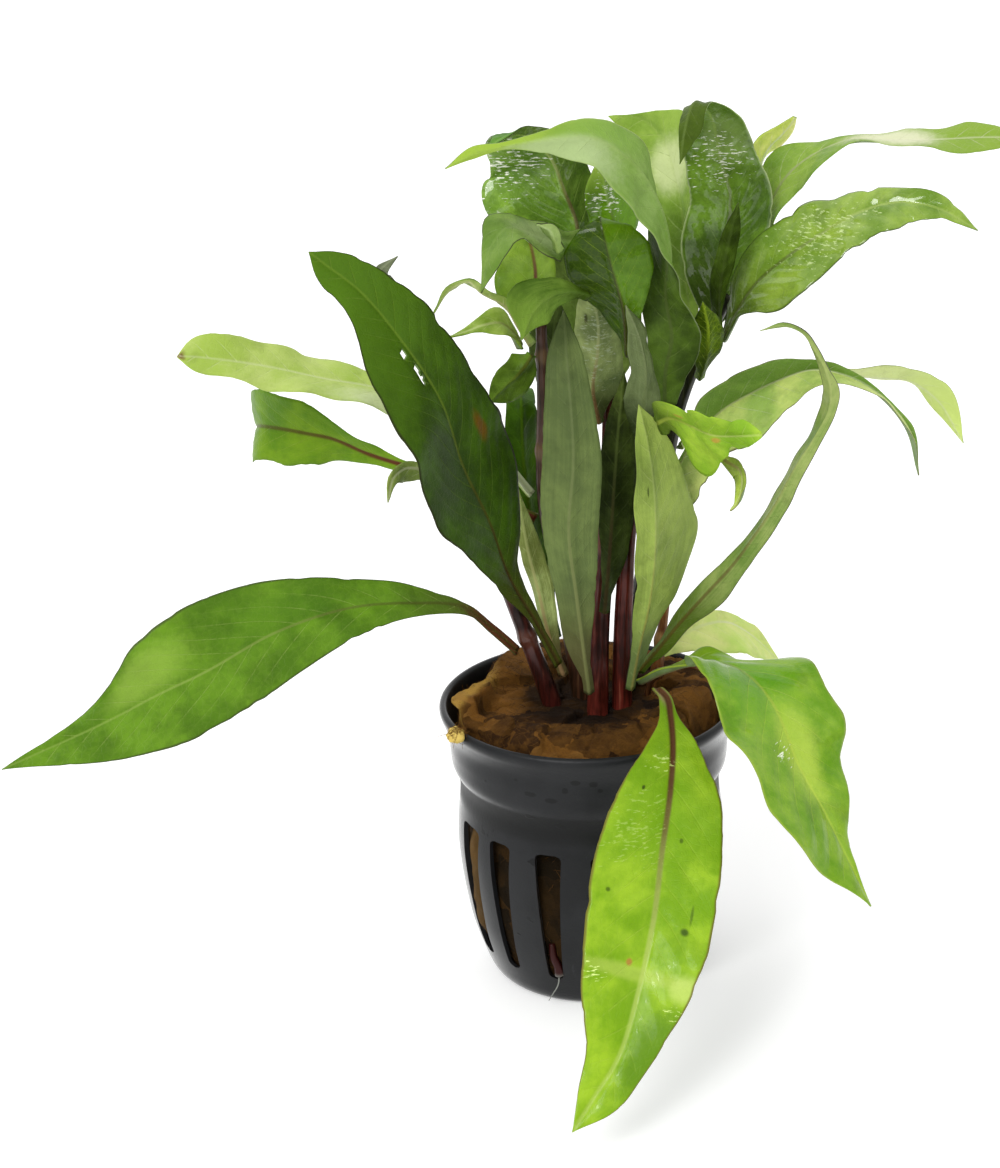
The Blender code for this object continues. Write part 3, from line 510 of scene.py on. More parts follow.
def wool_fibres():
    """Loose fibres that lie over the plug's top and side, each curled a little its own way."""
    rng = np.random.default_rng(11)
    corners = np.array([v.co for v in wool_mesh.vertices]) / MM
    normals = np.array([n.vector for n in wool_mesh.vertex_normals])
    shown = np.flatnonzero(corners[:, 2] > 5)
    weight = np.where(corners[shown, 2] > 44, 3.0, 1.0) * np.hypot(corners[shown, 0], corners[shown, 1])
    bundles = []
    for k in rng.choice(shown, FIBRES, p=weight / weight.sum()):
        normal = normals[k]
        way = np.cross(normal, rng.normal(size=3))
        way /= np.linalg.norm(way)
        bend = np.cross(normal, way) * rng.normal(0, 0.5)
        s = np.linspace(-0.5, 0.5, FIBRE_POINTS)[:, None] * rng.uniform(*FIBRE_LENGTH)
        lift = rng.uniform(-0.05, 0.35)
        droop = s**2 / (2 * 22 if corners[k, 2] < 46 else 60)
        path = corners[k] + way * s + bend * s**2 * 0.08 + normal * (lift - droop)
        path += rng.normal(0, 0.08, path.shape)
        inside = np.hypot(path[:, 0], path[:, 1]) < (24.0 if corners[k, 2] > 46 else 21.4)
        if inside.all() and path[:, 2].max() < HIGHEST_FIBRE:
            bundles.append(strand(path, np.linspace(1, 0.5, FIBRE_POINTS) * rng.uniform(*FIBRE_RADIUS)))
    for _ in range(TUFT_FIBRES):
        way = rng.normal(size=3) * TUFT_SIZE
        start = np.array(TUFT_PLACE) + way / np.linalg.norm(way / TUFT_SIZE) * 0.9
        s = np.linspace(-0.5, 0.5, FIBRE_POINTS)[:, None] * rng.uniform(1.0, 2.6)
        path = start + np.cross(way, rng.normal(size=3)) / 3 * s + rng.normal(0, 0.06, (FIBRE_POINTS, 3))
        bundles.append(strand(path, np.linspace(1, 0.5, FIBRE_POINTS) * rng.uniform(*FIBRE_RADIUS)))
    return strands_mesh("wool_fibres", bundles)


def tuft_mesh():
    """A pinch of dry wool that lies over the lip."""
    rows = []
    for up in np.linspace(-80, 80, 17):
        turns = np.radians(np.arange(0, 360, 12))
        around, above = math.cos(math.radians(up)), math.sin(math.radians(up))
        ball = np.stack((np.cos(turns) * around, np.sin(turns) * around, np.full(len(turns), above)), 1)
        swell = 1 + 0.4 * lumps(ball, 0.8, 3, 21).clip(-1.5, 1)
        rows.append(np.array(TUFT_PLACE) + ball * TUFT_SIZE * swell[:, None])
    return grid_mesh("wool_tuft", rows)


def fibre_skin(name, low, high):
    material, new, dress = surface(name, Specular_IOR_Level=0.15)
    place = new.node("TexCoord", output=3)
    x, y = (new.node("SeparateXYZ", None, {0: place}, k) for k in range(2))
    reach = (x * x + y * y) ** 0.5 + place.noise(160, 3) * 0.008
    pale = (place.noise(420, 2) * 0.5 + reach.rise(0.014, 0.028) * 0.5).rise(0.3, 0.75)
    colour = pale.blend(rgb(low), rgb(high))
    dress(Base_Color=colour, Roughness=place.noise(2000, 1) * 0.2 + 0.7)
    return material


add_piece("wool_plug", wool_mesh, [wool_skin()], "wool", "rock_wool")
add_piece("wool_fibres", wool_fibres(), [fibre_skin("wool_fibre", "2a1909", "7c5424")], "wool", "rock_wool")
add_piece("wool_tuft", tuft_mesh(), [fibre_skin("tuft_wool", "c49a40", "e2c468")], "wool", "rock_wool")

# Stems. Round, fleshy and dark red, cut at the foot and pushed into the wool, with a swollen ring
# where each pair of leaves left them. Fine ribs run up them and their wet skin glistens.

STEMS = {
    "stem_tall_left": ([(-0.4, 2, 46), (-3.4, 4, 68), (-6.4, 5, 86), (-6.2, 5, 104), (-6.2, 4, 117)],
                       1.7, 0.9, (95, 112)),
    "stem_tall_right": ([(6, 4, 46), (9.7, 5, 67), (13.2, 6, 85), (17, 6, 103), (20.6, 6, 112),
                         (24.6, 6, 120)], 1.9, 1.2, (112,)),
    "stem_left": ([(-5, -1, 46), (-8.2, -1, 57), (-12.3, 0, 69), (-14, 0, 74)], 1.8, 1.2, (63,)),
    "stem_centre": ([(1.5, -3.5, 46), (2.4, -2, 66), (3.7, -1, 80), (4.6, 1, 93), (5, 3.5, 106),
                     (4, 5, 122)], 1.9, 1.1, (80, 112)),
    "stem_middle_right": ([(5.8, -2.6, 46), (6.6, -2, 70), (8.2, -1, 86), (11.4, 0, 96),
                           (14.6, 0, 103)], 1.8, 1.1, (86,)),
    "stem_thin_right": ([(11.5, 4, 46), (13.3, 6, 59), (14.7, 7, 68)], 1.4, 0.6, (59,)),
    "stalk_wilted": ([(10.2, 0.6, 49.5), (11.4, 0.3, 53.6), (13.8, 0.4, 55.1), (17, 0.9, 55.9),
                      (19.8, 0.8, 55.3)],
                     0.6, 0.4, ()),
}
# Each stem's dark, red and pale paint.
STEM_PAINTS = {
    "stem_tall_left": ("20160a", "4c2c1c", "7c6440"), "stem_tall_right": ("12140a", "343414", "84885c"),
    "stem_left": ("1a0a06", "481a14", "6a4230"), "stem_centre": ("301009", "702a20", "a87058"),
    "stem_middle_right": ("301009", "742a20", "ac745a"), "stem_thin_right": ("5a3014", "8a5c2c", "b89860"),
    "stalk_wilted": ("3c2010", "6a4424", "c0a070")}
STEM_ROWS, STEM_SIDES, STEM_RIBS, RIB_DEPTH, RIB_TWIST = 110, 28, 7, 0.035, 0.02
JOINT_SWELL, JOINT_LENGTH = 0.3, 1.1


def stem_mesh(name, route, foot, tip, joints):
    path = eased(route, STEM_ROWS)[:, :3]
    heights = path[:, 2]
    radii = foot + (tip - foot) * (heights - heights[0]) / (heights[-1] - heights[0])
    for joint in joints:
        radii = radii + JOINT_SWELL * np.exp(-((heights - joint) / JOINT_LENGTH) ** 2)
    rings = []
    for i, ring in enumerate(strand(path, radii, STEM_SIDES)):
        ribs = [1 + RIB_DEPTH * math.cos(STEM_RIBS * 2 * math.pi * k / STEM_SIDES + i * RIB_TWIST)
                for k in range(STEM_SIDES)]
        rings.append([path[i] + (p - path[i]) * rib for p, rib in zip(ring, ribs)])
    for k in range(1, 5):
        shrink = math.cos(k * math.pi / 9)
        along = path[-1] - path[-2]
        along = along / np.linalg.norm(along) * radii[-1] * math.sin(k * math.pi / 9)
        rings.append([path[-1] + along + (p - path[-1]) * shrink for p in rings[STEM_ROWS - 1]])
    return grid_mesh(name, rings)


def stem_skin(name, dark, red, pale, joints):
    material, new, dress = surface(name, Coat_Roughness=0.12, Specular_IOR_Level=0.15)
    place = new.node("TexCoord", output=3)
    z = new.node("SeparateXYZ", None, {0: place}, 2)
    streaks = place.stretched(1, 1, 0.06).noise(1400, 3, 0.6)
    clouds = place.noise(120, 3)
    colour = (streaks * 0.6 + clouds * 0.5).rise(0.42, 0.7).blend(rgb(dark), rgb(red))
    colour = (streaks.rise(0.6, 0.78) * 0.35).blend(colour, rgb(pale))
    for joint in joints:
        ring = ((z - joint * MM).size()).rise(0.0022, 0.0006) * 0.4
        colour = ring.blend(colour, rgb(pale))
    bump = new.node("Bump", None, {"Strength": 0.5, "Distance": 0.0002, "Height": streaks})
    dress(Base_Color=colour, Roughness=clouds * 0.2 + 0.28, Coat_Weight=clouds.rise(0.4, 0.7) * 0.5,
          Normal=bump)
    return material


for stem, (route, foot, tip, joints) in STEMS.items():
    add_piece(stem + "_skin", stem_mesh(stem, route, foot, tip, joints),
              [stem_skin(stem + "_skin", *STEM_PAINTS[stem], joints)], "stem_skin", stem)

# Leaves at the lower left. Lance-shaped blades on short winged stalks, the broad ones with side
# veins that arch towards the tip. The upper skin is green and quilted between the veins and the
# underside is a paler, matt sage. One young leaf is lit through from behind, and that light is
# painted into its pale colours.

STALK_WIDTH = 1.9
RIB_THICKNESS = (1.25, 0.55)
BLADE_THICKNESS = 0.34
GROOVE_DEPTH, GROOVE_WIDTH = 0.16, 0.55
CELL = 0.75


def blade_frame(rows, lean):
    """Per row of a leaf, the directions across the blade and out of its upper face."""
    run = np.gradient(rows[:, :3], axis=0)
    run /= np.linalg.norm(run, axis=1, keepdims=True)
    if lean is None:
        heading = rows[-1, :3] - rows[0, :3]
        heading[2] = 0
        heading /= np.linalg.norm(heading)
    else:
        heading = np.array([math.sin(math.radians(lean)), -math.cos(math.radians(lean)), 0])
    side = np.cross(heading, (0, 0, 1))
    across = side - (run @ side)[:, None] * run
    across /= np.linalg.norm(across, axis=1, keepdims=True)
    up = np.cross(across, run)
    roll = np.radians(rows[:, 5:6])
    return np.cos(roll) * across + np.sin(roll) * up, np.cos(roll) * up - np.sin(roll) * across


def leaf(node, slot, upper, under, stations, lean=None, fold=12, pitch=4.2, quilt=0.16, ruffle=0.35,
         notch=0.25, sweep=1.0, holes=()):
    """Builds one leaf: its two skins, the veins pressed into them and its wavy, notched edge."""
    seed = sum(ord(c) * (k + 1) for k, c in enumerate(node))
    reach = eased(stations, 60)
    length = np.linalg.norm(np.diff(reach[:, :3], axis=0), axis=1).sum()
    count = max(26, round(length / CELL))
    rows = eased(stations, count)
    across, up = blade_frame(rows, lean)
    v = np.linspace(0, 1, count)
    taper = np.interp(v, (0, 0.25, 0.97, 1), (1, 0.75, 0.3, 0.06))
    halves = np.maximum(rows[:, 3:5], (STALK_WIDTH / 2 * taper)[:, None])
    side = max(4, round(halves.max() / CELL))
    t = np.linspace(-1, 1, 2 * side + 1)
    mm = v * length
    half = np.where(t[None] < 0, halves[:, :1], halves[:, 1:2])
    calm = np.clip(half / 3.0, 0, 1) * np.clip((1 - v[:, None]) / 0.08, 0, 1)
    phase_shift = (seed % 7) * 0.9
    edge = np.abs(t)[None] ** 1.5
    edge_line = np.stack((np.tile(mm, 2), np.repeat((0.0, 50.0), count),
                          np.full(2 * count, seed % 89)), 1)
    bites = np.clip(lumps(edge_line, pitch * 0.33, 2, seed + 1), 0, 1.5).reshape(2, count)
    half = half - notch * calm * edge * np.where(t[None] < 0, bites[0][:, None], bites[1][:, None])
    x = np.abs(t)[None] * half
    widest = halves.max()
    tilt = np.radians(fold - 4 * np.abs(t))[None]
    flat = np.stack((mm[:, None] * np.ones_like(t)[None], t[None] * half,
                     np.full(x.shape, float(seed % 97))), -1)
    soft = lumps(flat.reshape(-1, 3), 9.0, 2, seed).reshape(x.shape)
    phase = (mm[:, None] - sweep * x - 0.38 * x**2 / widest) / pitch + 0.16 * soft
    shifted = phase + 0.5 * (t[None] < 0)
    waves = np.sin(2 * math.pi * mm[:, None] / (pitch * 2.3) + phase_shift + (t[None] < 0) * 1.7)
    bulge = (-0.5 * np.cos(2 * math.pi * (shifted - 0.5)) * np.clip(x / 1.2, 0, 1)
             * (1 - np.abs(t)[None] ** 4))
    lift = (quilt * calm * bulge + ruffle * calm * edge * (0.7 * waves + 0.5 * soft)
            + 0.12 * calm * soft * edge)
    groove = GROOVE_DEPTH * np.exp(-(x / GROOVE_WIDTH) ** 2) * np.clip(half / 2, 0, 1)
    rib = np.interp(v, (0, 1), RIB_THICKNESS)[:, None]
    body = BLADE_THICKNESS * (1 - 0.75 * np.abs(t)[None] ** 3) * np.clip(half / 1.0, 0.35, 1)
    keel = (rib - BLADE_THICKNESS).clip(0) * np.exp(-(x / (0.42 + 0.25 * rib)) ** 2)
    middle = (rows[:, None, :3] + (half * t[None] * np.cos(tilt))[..., None] * across[:, None]
              + (half * np.abs(t)[None] * np.sin(tilt) + lift)[..., None] * up[:, None])
    top = middle + (body / 2 - groove)[..., None] * up[:, None]
    low = middle - (body / 2 + keel)[..., None] * up[:, None]
    wide = len(t)
    corners = np.concatenate((top.reshape(-1, 3), low.reshape(-1, 3)))
    open_cells = set()
    for hole_t, hole_v, hole_r in holes:
        here = np.hypot((t[None] - hole_t) * halves.max(), (v[:, None] - hole_v) * length) < hole_r
        open_cells |= {(i, j) for i, j in zip(*np.nonzero(here))}
    faces, kinds = [], []
    under_start = count * wide
    for i in range(count - 1):
        for j in range(wide - 1):
            a, b = i * wide + j, (i + 1) * wide + j
            if (i, j) in open_cells:
                for p, q, near in ((a, a + 1, (i - 1, j)), (b, b + 1, (i + 1, j)),
                                   (a, b, (i, j - 1)), (a + 1, b + 1, (i, j + 1))):
                    if near not in open_cells:
                        faces.append((p, q, q + under_start, p + under_start))
                        kinds.append(1)
                continue
            faces += [(a, b, b + 1, a + 1),
                      (a + under_start, a + 1 + under_start, b + 1 + under_start, b + under_start)]
            kinds += [0, 1]
    for i in range(count - 1):
        for j in (0, wide - 1):
            a, b = i * wide + j, (i + 1) * wide + j
            faces.append((a, b, b + under_start, a + under_start))
            kinds.append(0)
    for i in (0, count - 1):
        for j in range(wide - 1):
            a = i * wide + j
            faces.append((a, a + 1, a + 1 + under_start, a + under_start))
            kinds.append(0)
    mesh = bpy.data.meshes.new(node + "_blade")
    mesh.from_pydata((corners * MM).tolist(), [], faces)
    mesh.polygons.foreach_set("material_index", kinds)
    place = np.stack((np.broadcast_to(0.5 + 0.5 * t[None], x.shape),
                      np.broadcast_to(v[:, None], x.shape)), -1)
    marks = np.stack((phase, x), -1)
    loops = np.empty(len(mesh.loops), int)
    mesh.loops.foreach_get("vertex_index", loops)
    for name, values in (("Blade", place), ("Veins", marks)):
        layer = mesh.uv_layers.new(name=name)
        layer.data.foreach_set("uv", np.tile(values.reshape(-1, 2), (2, 1))[loops].ravel())
    bm = bmesh.new()
    bm.from_mesh(mesh)
    bmesh.ops.recalc_face_normals(bm, faces=bm.faces)
    bm.to_mesh(mesh)
    bm.free()
    return add_piece(node + "_blade", mesh, [upper, under], slot, node)


def skin(name, light, dark, rib="5a3a2c", vein="a9c26a", tip=None, foot=None, edge=None, half=None,
         patches=(), veins=0.25, rough=0.4, shine=0.0, ribs=0.5, bold=0.65, blister=0.0, sheen_streaks=0.1,
         raised=-1, rib_tip=None, glints=(), shade_blotches=0.3, glint="f4f6e6"):
    """A leaf's skin: clouds of two greens, paler veins, a tinted midrib and foot, and a margin.
    Lengthwise streaks in the greens are a painted satin sheen; dark blotches and a darker half are
    painted shade.
    Each patch is its middle across and along the blade, its reach both ways, its paint and strength;
    some patches are real spots and some a painted sheen or highlight.
    Each glint is the same without the paint: a patch of short bright marks, painted highlights."""
    material, new, dress = surface(name, Coat_Roughness=0.07, Specular_IOR_Level=0.09)
    blade = new.node("UVMap", {"uv_map": "Blade"})
    lines = new.node("UVMap", {"uv_map": "Veins"})
    place = new.node("TexCoord", output=3)
    across, along = (new.node("SeparateXYZ", None, {0: blade}, k) for k in (0, 1))
    phase, from_rib = (new.node("SeparateXYZ", None, {0: lines}, k) for k in (0, 1))
    clouds = place.noise(110, 4, 0.6)
    fine = place.noise(1100, 3, 0.6)
    streaks = blade.stretched(9, 1.5, 1).noise(2.2, 4, 0.6)
    drift = place.noise(210, 3, 0.6)
    to_edge = (across - 0.5).size() * 2

    def from_spot(middle_t, middle_v, reach_t, reach_v):
        """How far a point is from a spot's middle, 1 where the spot's reach ends."""
        off_t = ((across - (0.5 + 0.5 * middle_t)) * (2 / reach_t)) ** 2.0
        off_v = ((along - middle_v) * (1 / reach_v)) ** 2.0
        return (off_t + off_v) ** 0.5

    left = across.rise(0.5001, 0.4999)
    beside = ((phase + left * 0.5).maths("FRACT", phase + left * 0.5) - 0.5).size()
    thin = beside + clouds * 0.06 - 0.03
    vein_line = thin.rise(0.055, 0.008) * to_edge.rise(0.95, 0.3) * fine.rise(0.25, 0.6)
    cells = place.node("TexVoronoi", {"feature": "DISTANCE_TO_EDGE"}, {"Vector": place, "Scale": 950.0})
    net = cells.rise(0.11, 0.0)
    # Lengthwise streaks mixed into the two greens: a painted satin sheen.
    colour = (clouds * (1 - sheen_streaks) + streaks * sheen_streaks).rise(0.36, 0.64).blend(rgb(dark), rgb(light))
    # Darker blotches at random over the blade: painted shade.
    shade_tone = tuple(0.45 * c for c in rgb(dark))
    colour = (drift.rise(0.48, 0.30) * shade_blotches).blend(colour, shade_tone)
    colour = (beside.rise(0.15, 0.45) * 0.22 * fine.rise(0.3, 0.6)).blend(colour, rgb(dark))
    if foot:
        colour = (along + clouds * 0.15).rise(0.42, 0.16).blend(colour, rgb(foot))
    if tip:
        colour = (along + clouds * 0.15).rise(0.62, 1.0).blend(colour, rgb(tip))
    # One half of the blade painted darker: painted shade on the side of a fold turned from the light.
    if half:
        side, paint, strength = half
        mask = left if side < 0 else 1 - left
        colour = (mask * strength * clouds.rise(0.2, 0.5)).blend(colour, rgb(paint))
    for *spot, paint, strength in patches:
        mask = (from_spot(*spot) + fine * 0.4 + clouds * 0.5 - 0.45).rise(1.15, 0.4)
        colour = (mask * strength).blend(colour, rgb(paint))
    colour = (net * 0.16 * veins).blend(colour, rgb(vein))
    colour = (vein_line * veins).blend(colour, rgb(vein))
    rib_colour = (along + clouds * 0.2).rise(0.35, 0.85).blend(rgb(rib), rgb(rib_tip or vein))
    midrib = (from_rib + along * 0.35 * ribs).rise(ribs, ribs * 0.4)
    colour = (midrib * bold * (1 - along.rise(0.3, 1.1) * 0.6)).blend(colour, rib_colour)
    # Glints: short bright marks, painted highlights where the blade would catch the light.
    for *spot, strength in glints:
        glint_spread = (from_spot(*spot) + clouds * 0.8 - 0.4).rise(1.15, 0.2)
        flecks = (place.stretched(0.45, 0.45, 1.9).noise(1700, 3, 0.6) + glint_spread * 0.13).rise(0.67, 0.75)
        colour = (flecks * glint_spread.rise(0.0, 0.3) * strength).blend(colour, rgb(glint, 1))
    if edge:
        colour = ((to_edge + clouds * 0.06).rise(0.975, 1.02) * 0.85).blend(colour, rgb(edge))
    height = vein_line * (0.3 * raised) + net * (0.09 * raised) + fine * 0.13
    if blister:
        height = height + place.noise(820, 2, 0.5) * blister
    bump = new.node("Bump", None, {"Strength": 0.45, "Distance": 0.0006, "Height": height})
    dress(Base_Color=colour, Roughness=fine * 0.16 + (rough - 0.08), Normal=bump,
          **({"Coat_Weight": clouds.rise(0.3, 0.55) * shine} if shine else {}))
    return material


sage_back = skin("sage_back", "93ac72", "728c50", rib="8a6a50", vein="b9c990", rough=0.5, sheen_streaks=0.35,
                 raised=1)
# Pale underside of the leaves lit through from behind, with the light through them painted in.
pale_back = skin("pale_back", "c3d68c", "9fb860", rib="a98a5a", vein="dbe6b4", rough=0.5, raised=1)
green_face = skin("green_face", "5f9424", "40701a", vein="9cbd58", edge="3a2a2c")

leaf("leaf_low_left", "leaf_mid",
     skin("low_left_face", "6e9a24", "517918", rib="50501f", vein="aec467", foot="4f5a24",
          edge="475528", veins=0.26, bold=0.6, ribs=0.4, rib_tip="a8bf62",
          patches=[(0, 0.05, 2.2, 0.12, "6b3424", 0.9), (0.45, 0.74, 0.5, 0.10, "a3c64e", 0.5),
          (0.5, 0.84, 0.5, 0.06, "3f6812", 0.4), (0.3, 0.5, 0.5, 0.12, "4c7a18", 0.4)]), sage_back, [
    (-12, -2, 61, 0, 0, 60), (-16, -4, 66, 0, 0, 60), (-21, -8, 72, 1.4, 0.7, 60),
    (-29, -13, 75, 2.4, 3, 60), (-39, -19, 77, 4.9, 4.9, 60), (-51, -26, 76, 7.7, 8.7, 60),
    (-63, -33, 72, 8.8, 10.8, 65), (-69.5, -36.3, 70.2, 8.9, 9, 63), (-76, -39.5, 68, 7.2, 4.5, 60),
    (-93.5, -47, 63, 0, 0, 55)], pitch=5.6, sweep=1.9)
leaf("leaf_broad_left", "leaf_dark",
     skin("broad_left_face", "42630e", "2b4407", rib="492e17", vein="84a036", foot="4a5117",
          tip="527814", edge="2a2912", veins=0.20, patches=[(0.55, 0.52, 0.12, 0.04, "744915", 0.8)]),
     sage_back, [
    (-5, -4, 59, 0, 0, 80), (-8, -5, 66, 0.5, 1, 80), (-13, -8, 77, 3.5, 2.9, 70),
    (-16, -11, 88, 8.8, 8, 70), (-20, -14, 99, 14.1, 12, 65), (-23, -17, 111, 15.3, 9.5, 60),
    (-29, -21, 123, 11, 7.5, 70), (-35, -24, 132, 4.6, 4.5, 80), (-40.6, -26.6, 137.6, 1.7, 1.8, 98),
    (-42, -27.2, 139, 0, 0, 100)],
     pitch=5.0, sweep=1.4, holes=((-0.18, 0.74, 0.9), (-0.12, 0.70, 1.0), (-0.13, 0.68, 0.9)))
# A young leaf lit through from behind: the light through it is painted into its pale colours.
leaf("leaf_backlit_left", "leaf_backlit",
     skin("backlit_left_face", "c4d778", "abc755", rib="bbc592", vein="e2ebb3", foot="d1d9af",
          veins=0.25, patches=[(0, 1.0, 0.9, 0.022, "6c2a26", 0.9),
          (-0.7, 0.42, 0.7, 0.22, "dfe8bc", 0.6)]), pale_back, [
    (-8.6, 4, 87.5, 0, 0, 35), (-14, 5, 94, 0.5, 0.5, 40), (-21, 5, 100, 2.5, 0.5, 40),
    (-33, 4, 107, 6, 3, 30), (-43, 2, 110, 6, 4.9, 20), (-52, 0, 113, 5, 4.3, 40),
    (-59, -2, 115, 3.2, 4.4, 50), (-65, -3.3, 116.2, 1.7, 2.1, 50), (-66.4, -3.5, 116.3, 0, 0, 50)],
     pitch=4.6, ruffle=0.6)
leaf("leaf_folded_left", "leaf_mid",
     skin("folded_left_face", "7ba120", "5c871a", rib="6a3222", vein="aac04d", foot="6a672c",
          veins=0.25, bold=1.0, ribs=0.75, rib_tip="4e4018"), sage_back, [
    (-8, 7, 82, 0, 0, 80), (-17, 7, 87, 0, 0, 85), (-26, 8, 91, 0.5, 0.5, 90),
    (-31, 8, 92.5, 1.5, 1, 95), (-36, 9, 94, 1.9, 2.5, 100), (-43, 10, 97, 5.2, 4, 100),
    (-46.6, 10.8, 97.6, 5.8, 6.5, 96), (-50, 12, 98, 6.4, 6.5, 90), (-54.5, 16, 97.5, 5.9, 6.7, 75),
    (-56.3, 21, 96, 6.5, 6, 60), (-56.3, 27, 93, 4.4, 3.2, 50), (-54.5, 33, 89, 0, 0, 45)],
     pitch=4.6, sweep=1.5)
leaf("leaf_drooping_left", "leaf_dark",
     skin("drooping_left_face", "9aab57", "6b803e", vein="efefcb"), sage_back, [
    (-19, 4, 89, 0, 0, 90), (-23, 4, 91, 1, 0.5, 95), (-27, 3, 93, 2.1, 1, 100),
    (-30, 1, 94, 3, 1.4, 100), (-32, -1, 93, 1.4, 1.1, 100), (-33, -2, 89, 0, 0, 90)], pitch=2.8)
leaf("leaf_hooked_left", "leaf_dark", green_face,
     skin("hooked_left_back", "8d9474", "5c6648", rib="5a4a38", vein="a5ad8a", sheen_streaks=0.35, raised=1), [
    (-12, 8, 90, 0, 0, -15), (-18, 5, 102, 1.5, 2, -20), (-23, 1, 114, 1.5, 2.5, -10),
    (-28, -4, 123, 1.5, 2.5, -5), (-31, -8, 129, 1.6, 1.2, -5), (-32, -10, 131, 1.6, 1.1, 0),
    (-29, -12, 134, 0, 0, 0)], pitch=3.2)
leaf("leaf_dark_back_left", "leaf_dark", green_face,
     skin("dark_back_left_back", "4c740f", "335205", rib="46480e", vein="6d951f", raised=1), [
    (-5, 6, 60, 0, 0, 0), (-7, 8, 70, 2, 0.5, -10), (-9, 9, 81, 3.5, 3, -20),
    (-10, 10, 92, 3.5, 3, -20), (-10, 11, 102, 3, 2.5, -15), (-10, 15, 103, 2.5, 2.5, 0),
    (-10, 22, 100, 0, 0, 0)], lean=0)
leaf("leaf_sage_low_left", "leaf_sage", green_face,
     skin("sage_low_left_back", "ccde8a", "808c44", rib="be966b", vein="e8ef9f", foot="76683d",
          sheen_streaks=0.35, raised=1), [
    (-4, 1, 55, 0, 0, 0), (-6.2, 0.8, 62, 1.6, 1, 5), (-8, 1.6, 71, 2.7, 1.1, 5),
    (-9.6, 2.2, 78, 2.5, 1.5, 0), (-11, 3.3, 89.2, 0, 0, 5)], lean=0, pitch=3.6)
leaf("leaf_mid_left", "leaf_mid", green_face,
     skin("mid_left_back", "75982d", "405810", rib="514f15", vein="91ad41", raised=1), [
    (-8, 2, 113, 0, 0, -100), (-9, 2, 111.5, 3, 2.5, -95), (-10.5, 1.5, 110, 2.9, 4, -80),
    (-13, 1, 108, 2.6, 5.5, -70), (-15.5, 0, 105.5, 0, 0, -90)], pitch=3.0)
young_green = skin("young_green", "84a544", "62852a", rib="7a7a48", vein="c3d590", veins=0.23)
leaf("leaf_small_left", "leaf_mid",
     skin("small_left_face", "aec75d", "759720", rib="888a46", vein="e2eea5"), sage_back, [
    (-9.5, 5, 113.5, 0, 0, 25), (-11, 4, 116.4, 1.5, 1.5, 40), (-13, 3, 118.2, 2.8, 2.9, 40),
    (-16, 2, 118.2, 2, 1.9, 30), (-19, 1, 117.4, 0.8, 1, 10), (-22, 0, 117, 0, 0, 0)], pitch=2.8)
leaf("leaf_thin_arch_left", "leaf_mid", young_green,
     skin("thin_arch_back", "b3c872", "8ea64b", rib="9f9367", vein="efefb9", raised=1), [
    (-8, 2, 115, 0, 0, -30), (-10, 0, 119, 0, 0, -30), (-12, -2, 123, 1, 2, -25),
    (-16, -4, 126, 1.2, 1.6, -15), (-18, -5, 128, 0.5, 3, -35), (-21, -6, 127, 0.8, 1, -60),
    (-24, -7, 123, 0, 0, -55)], pitch=2.6)

# Leaves that spread at the front and the right of the pot: one broad bright blade that hangs over
# the lip in front, another that folds over at the right, a pale one behind it, and a long ribbon
# that twists and bends back on itself.

leaf("leaf_front", "leaf_sunlit",
     skin("front_face", "a2c92b", "79a714", rib="5c3a22", vein="c5de59", foot="6f9918", edge="7d7034",
          veins=0.14, rough=0.42, shine=0.1, ribs=0.85, bold=1.0, shade_blotches=0.12, rib_tip="b9cf66",
          # The pale bands at 0.69 and 0.70 of the length are a painted highlight along the bend, and the
          # glints are painted highlights.
          patches=[(0, 0.40, 1.4, 0.10, "76a514", 0.5), (0.1, 0.69, 1.2, 0.018, "c7da66", 0.4),
          (0, 0.75, 0.6, 0.06, "79a51c", 0.4), (-0.8, 0.82, 0.75, 0.09, "5f8a1c", 0.75),
          (-0.85, 0.70, 0.4, 0.03, "d3e87c", 0.6), (0, 0.10, 1.2, 0.045, "9a8462", 0.9),
          (0.25, 0.672, 0.06, 0.009, "b8763c", 0.8), (-0.55, 0.60, 0.09, 0.008, "3f5c0c", 0.95),
          (-0.62, 0.57, 0.03, 0.02, "3f5c0c", 0.6), (0.55, 0.333, 0.04, 0.006, "33460a", 0.9),
          (-0.3, 0.43, 0.04, 0.006, "4d6b0c", 0.9), (0.72, 0.545, 0.04, 0.006, "4d6b0c", 0.9)],
          glints=[(0.85, 0.71, 0.35, 0.03, 0.9), (-0.8, 0.745, 0.3, 0.02, 0.9),
          (0.5, 0.42, 0.8, 0.12, 0.22), (0.3, 0.27, 0.7, 0.04, 0.6)], glint="d6ea8c"), sage_back, [
    (12.7, -11.5, 53.4, 0, 0, 0), (12.4, -13.6, 56.8, 0.3, 0.3, 0), (11.2, -15.5, 59, 0.5, 0.5, 0),
    (12.6, -17.6, 58.2, 0.7, 1.4, 0), (13, -21.5, 56.4, 1.3, 2, 0), (13, -26, 54, 3.7, 4, 0),
    (12, -34, 49, 8, 8, 0), (10, -42, 42, 9.8, 10.5, 0), (8, -50, 34, 9.6, 11, 0),
    (6.6, -53.6, 29.6, 9.4, 10.4, 0), (5, -57, 25, 8.1, 9.5, 0), (1, -63, 16, 4.8, 5.4, 0),
    (-2.7, -66, 11.6, 4, 2.9, 0), (-6.3, -69, 7.4, 0, 0, 0)], lean=0, pitch=5.4, quilt=0.1)
